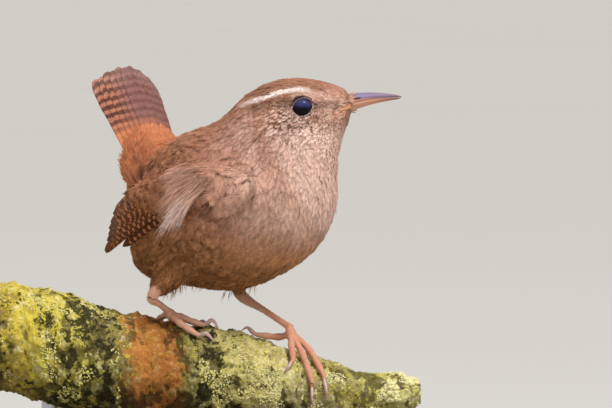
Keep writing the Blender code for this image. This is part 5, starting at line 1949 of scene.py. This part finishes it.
def build_lichen():
    """Grains and small lobes of lichen, half sunk in the bark."""
    rng = np.random.default_rng(53)
    shape, corners = ball_shape()
    x = rng.uniform(-50.5, 50.8, 26000)
    turn = rng.uniform(-60.0, 150.0, 26000)
    places = branch_place(x, turn, 0.0)
    cluster = lattice_noise(places, 4.5, 12) + 0.35 * (lattice_noise(places, 1.5, 13) - 0.5)
    want = 0.66 - 0.08 * smooth_step(0.0, 8.0, x) - 0.2 * smooth_step(39.0, 44.0, x)
    chosen = (cluster > want) & ((x < -20.0) | (x > -1.0))
    x, turn = x[chosen][:5200], turn[chosen][:5200]
    rough, _ = bark_relief(x, turn)
    end = smooth_step(40.0, 46.0, x)
    size = rng.uniform(0.1, 0.3, len(x)) * (1.0 + 1.8 * end * rng.uniform(0.0, 1.0, len(x)))
    centre = branch_place(x, turn, rough + 0.25 * size)
    out = unit(branch_place(x, turn, 1.0 + 0.0 * x) - branch_place(x, turn, 0.0 * x))
    points = shape[None] * size[:, None, None] * rng.uniform(0.7, 1.3, (len(x), 1, 3))
    flat = (points * out[:, None]).sum(axis=2, keepdims=True)
    points = centre[:, None] + points - 0.45 * flat * out[:, None]
    faces = corners[None] + len(shape) * np.arange(len(x))[:, None, None]
    tone = np.stack((rng.uniform(0, 1, len(x)), smooth_step(-10.0, 30.0, x), end, end), axis=1)
    mark = np.repeat(tone[:, None], len(shape), axis=1).reshape(-1, 4)
    piece = array_mesh("perch_lichen", points.reshape(-1, 3), faces.reshape(-1, 3), {"lichen": mark})
    made = Finish("lichen", Roughness=0.95, Specular_IOR_Level=0.1)
    chance, far, _ = made.parts(made.attribute("lichen"))
    colour = made.mix(chance, linear(196, 188, 80), linear(226, 218, 158))
    colour = made.mix(0.6 * far, colour, linear(226, 220, 176))
    grain = made.noise(made.places(), 0.3, 2.0)
    made.feed(Base_Color=colour, Normal=made.bump(grain, 0.1, 0.6))
    dress(piece, made.material)
    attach(piece, "root")


# Stand


def build_stand(looks):
    """The plain base and rods keep their solids and get wood and steel finishes."""
    wood = Finish("stand_wood", Roughness=0.45, Coat_Weight=0.15)
    grain = wood.noise(wood.places((0.05, 1.0, 1.0)), 1.6, 4.0, 0.6, 0.4)
    rings = wood.steps((wood.noise(wood.places((0.02, 0.4, 0.4)), 3.0, 2.0) * 30.0).sine(), -1.0, 1.0)
    colour = wood.mix(grain, linear(112, 78, 54), linear(74, 50, 34))
    colour = wood.mix(rings * 0.35, colour, linear(60, 40, 28))
    wood.feed(Base_Color=colour, Normal=wood.bump(grain, 0.1, 0.3))
    steel = Finish("stand_steel", Metallic=1.0)
    steel.shader.inputs["Base Color"].default_value = (0.56, 0.56, 0.57, 1.0)
    fine = steel.noise(steel.places((1.0, 1.0, 0.05)), 0.25, 2.0)
    steel.feed(Roughness=0.28 + 0.14 * fine)
    dress(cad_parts["stand_base"], wood.material)
    for name in ("stand_rod_left", "stand_rod_right"):
        dress(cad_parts[name], steel.material)


# Studio


def build_studio(looks):
    """Pale floor, soft lights and a long lens at the photograph's angle."""
    nothing_selected()
    bpy.ops.mesh.primitive_circle_add(vertices=96, radius=14.0, fill_type="NGON")
    floor = bpy.context.object
    floor.name = floor.data.name = "floor"
    floor.data.transform(Matrix.Translation((0.0, 0.0, -0.0002)))
    made = Finish("floor", Roughness=0.9)
    tone = made.noise(made.places(), 400.0, 2.0)
    made.feed(Base_Color=made.mix(tone, linear(196, 194, 190), linear(192, 190, 186)))
    dress(floor, made.material)
    world = bpy.data.worlds.new("studio")
    bpy.context.scene.world = world
    world.use_nodes = True
    background = world.node_tree.nodes["Background"]
    background.inputs["Color"].default_value = (*linear(232, 231, 228), 1.0)
    background.inputs["Strength"].default_value = 0.62
    target = Vector((0.015, 0.0, 0.075))
    lamps = (
        ("key", "SUN", (0.38, -0.55, 1.0), looks.key_light, (1.0, 0.975, 0.94)),
        ("sky", "AREA", (-0.05, -0.25, 0.9), 2.4, (0.8, 0.86, 1.0)),
    )
    for name, kind, place, power, colour in lamps:
        lamp = bpy.data.lights.new(name, kind)
        if kind == "SUN":
            lamp.angle = math.radians(24.0)
        else:
            lamp.shape = "DISK"
            lamp.size = 0.7
        lamp.energy = power
        lamp.color = colour
        holder = bpy.data.objects.new(name, lamp)
        holder.location = place
        holder.rotation_euler = (target - Vector(place)).to_track_quat("-Z", "Y").to_euler()
        bpy.context.scene.collection.objects.link(holder)
    lens = bpy.data.cameras.new("camera")
    lens.sensor_width = 36.0
    distance, width = 1.6, 0.1457
    lens.lens = 36.0 * distance / width
    lens.clip_start, lens.clip_end = 0.05, 60.0
    camera = bpy.data.objects.new("camera", lens)
    rise = math.radians(2.5)
    middle = Vector((24.05, 0.0, 70.6)) * MILLIMETRE
    back = Vector((0.0, -math.cos(rise), math.sin(rise)))
    camera.location = middle + distance * back
    camera.rotation_euler = (-back).to_track_quat("-Z", "Y").to_euler()
    bpy.context.scene.collection.objects.link(camera)
    bpy.context.scene.camera = camera
    bpy.context.scene.view_settings.view_transform = "Standard"


# Add-on


def tint(name, description, colour):
    return bpy.props.FloatVectorProperty(
        name=name, description=description, default=colour, size=3, min=0.0, max=1.0, subtype="COLOR"
    )


class WrenLooks(bpy.types.PropertyGroup):
    """Colours and sizes that a user would change."""

    back: tint("Back", "Warm brown of the crown, back and mantle", linear(190, 135, 107))
    breast: tint("Breast", "Pinkish buff of the throat and breast", linear(240, 203, 186))
    flank: tint("Flank", "Olive brown of the flanks and belly", linear(202, 146, 98))
    rufous: tint("Rufous", "Warm rufous of the rump and the tail's root", linear(212, 134, 92))
    dusky: tint("Dusky", "Dark brown of the bars and streaks", linear(76, 44, 24))
    buff: tint("Buff", "Golden buff of the spots between the dark bars", linear(210, 146, 96))
    # Deep brown of the underside, which also carries painted shade under the body.
    deep_brown_and_shade: tint("Deep", "Deep brown of the vent and the low flanks", linear(112, 68, 32))
    cream: tint("Cream", "Cream of the brow and pale edges", linear(252, 234, 226))
    wing: tint("Wing", "Dark brown of the flight feathers", linear(46, 19, 5))
    wing_bar: tint("Wing bars", "Buff spots across the flight feathers", linear(204, 128, 80))
    wing_edge: tint("Wing edge", "Lighter brown that varies the wing", linear(80, 43, 20))
    # The mauve in the Tail and Tail edge colours is a painted sky sheen on the tail's upper side; the
    # feathers under it are rufous brown.
    tail: tint("Tail", "Mauve brown of the tail feathers", linear(156, 104, 88))
    tail_bar: tint("Tail bars", "Dark bars across the tail", linear(84, 50, 43))
    tail_edge: tint("Tail edge", "Rusty brown that varies the tail", linear(146, 106, 104))
    coat_spacing: bpy.props.FloatProperty(
        name="Coat spacing", description="Distance between feathers, as a share of the usual",
        default=1.0, min=0.7, max=3.0, subtype="FACTOR",
    )
    key_light: bpy.props.FloatProperty(
        name="Key light", description="Strength of the main soft light", default=2.6, min=0.0
    )


def maker(idname, label, note, build):
    """An operator class that builds one group of pieces."""

    def execute(self, context):
        build(context.scene.wren)
        return {"FINISHED"}

    return type(
        "WREN_OT_" + idname,
        (bpy.types.Operator,),
        {"__doc__": note, "bl_idname": "wren." + idname, "bl_label": label, "execute": execute},
    )


STEPS = (
    maker("skin", "Skin", "Builds the skin under the coat", build_skin),
    maker("coat", "Small feathers", "Lays the small feathers over the skin", build_coat),
    maker("wings", "Wings", "Builds the folded wings' feathers", build_wings),
    maker("mantle", "Mantle", "Lays mantle feathers over the wings' roots", build_mantle),
    maker("tufts", "Tufts", "Lays the pale loose tufts over the wings", build_tufts),
    maker("tail", "Tail", "Builds the tail feathers and their coverts", build_tail),
    maker("eyes", "Eyes", "Builds the eyeballs and lids", build_eyes),
    maker("bill", "Bill", "Builds both halves of the bill", build_bill),
    maker("face", "Face", "Lays short feathers round the bill's root", build_face),
    maker("legs", "Legs", "Builds the shanks, toes and claws", build_legs),
    maker("perch", "Perch", "Builds the bark of the perch", build_perch),
    maker("stand", "Stand", "Finishes the display stand", build_stand),
    maker("studio", "Studio", "Sets the floor, lights and camera", build_studio),
)


class WREN_PT_steps(bpy.types.Panel):
    """Lists the steps that build the wren."""

    bl_idname = "WREN_PT_steps"
    bl_label = "Wren"
    bl_space_type = "VIEW_3D"
    bl_region_type = "UI"
    bl_category = "Wren"

    def draw(self, context):
        for step in STEPS:
            self.layout.operator(step.bl_idname)
        for key in context.scene.wren.bl_rna.properties.keys()[2:]:
            self.layout.prop(context.scene.wren, key)


CLASSES = (WrenLooks, *STEPS, WREN_PT_steps)


def register():
    for kind in CLASSES:
        bpy.utils.register_class(kind)
    bpy.types.Scene.wren = bpy.props.PointerProperty(type=WrenLooks)


def unregister():
    del bpy.types.Scene.wren
    for kind in reversed(CLASSES):
        bpy.utils.unregister_class(kind)


def main():
    register()
    for step in STEPS:
        group, name = step.bl_idname.split(".")
        result = getattr(getattr(bpy.ops, group), name)()
        if result != {"FINISHED"}:
            raise RuntimeError(f"{step.bl_label} was not finished")


if __name__ == "__main__":
    main()
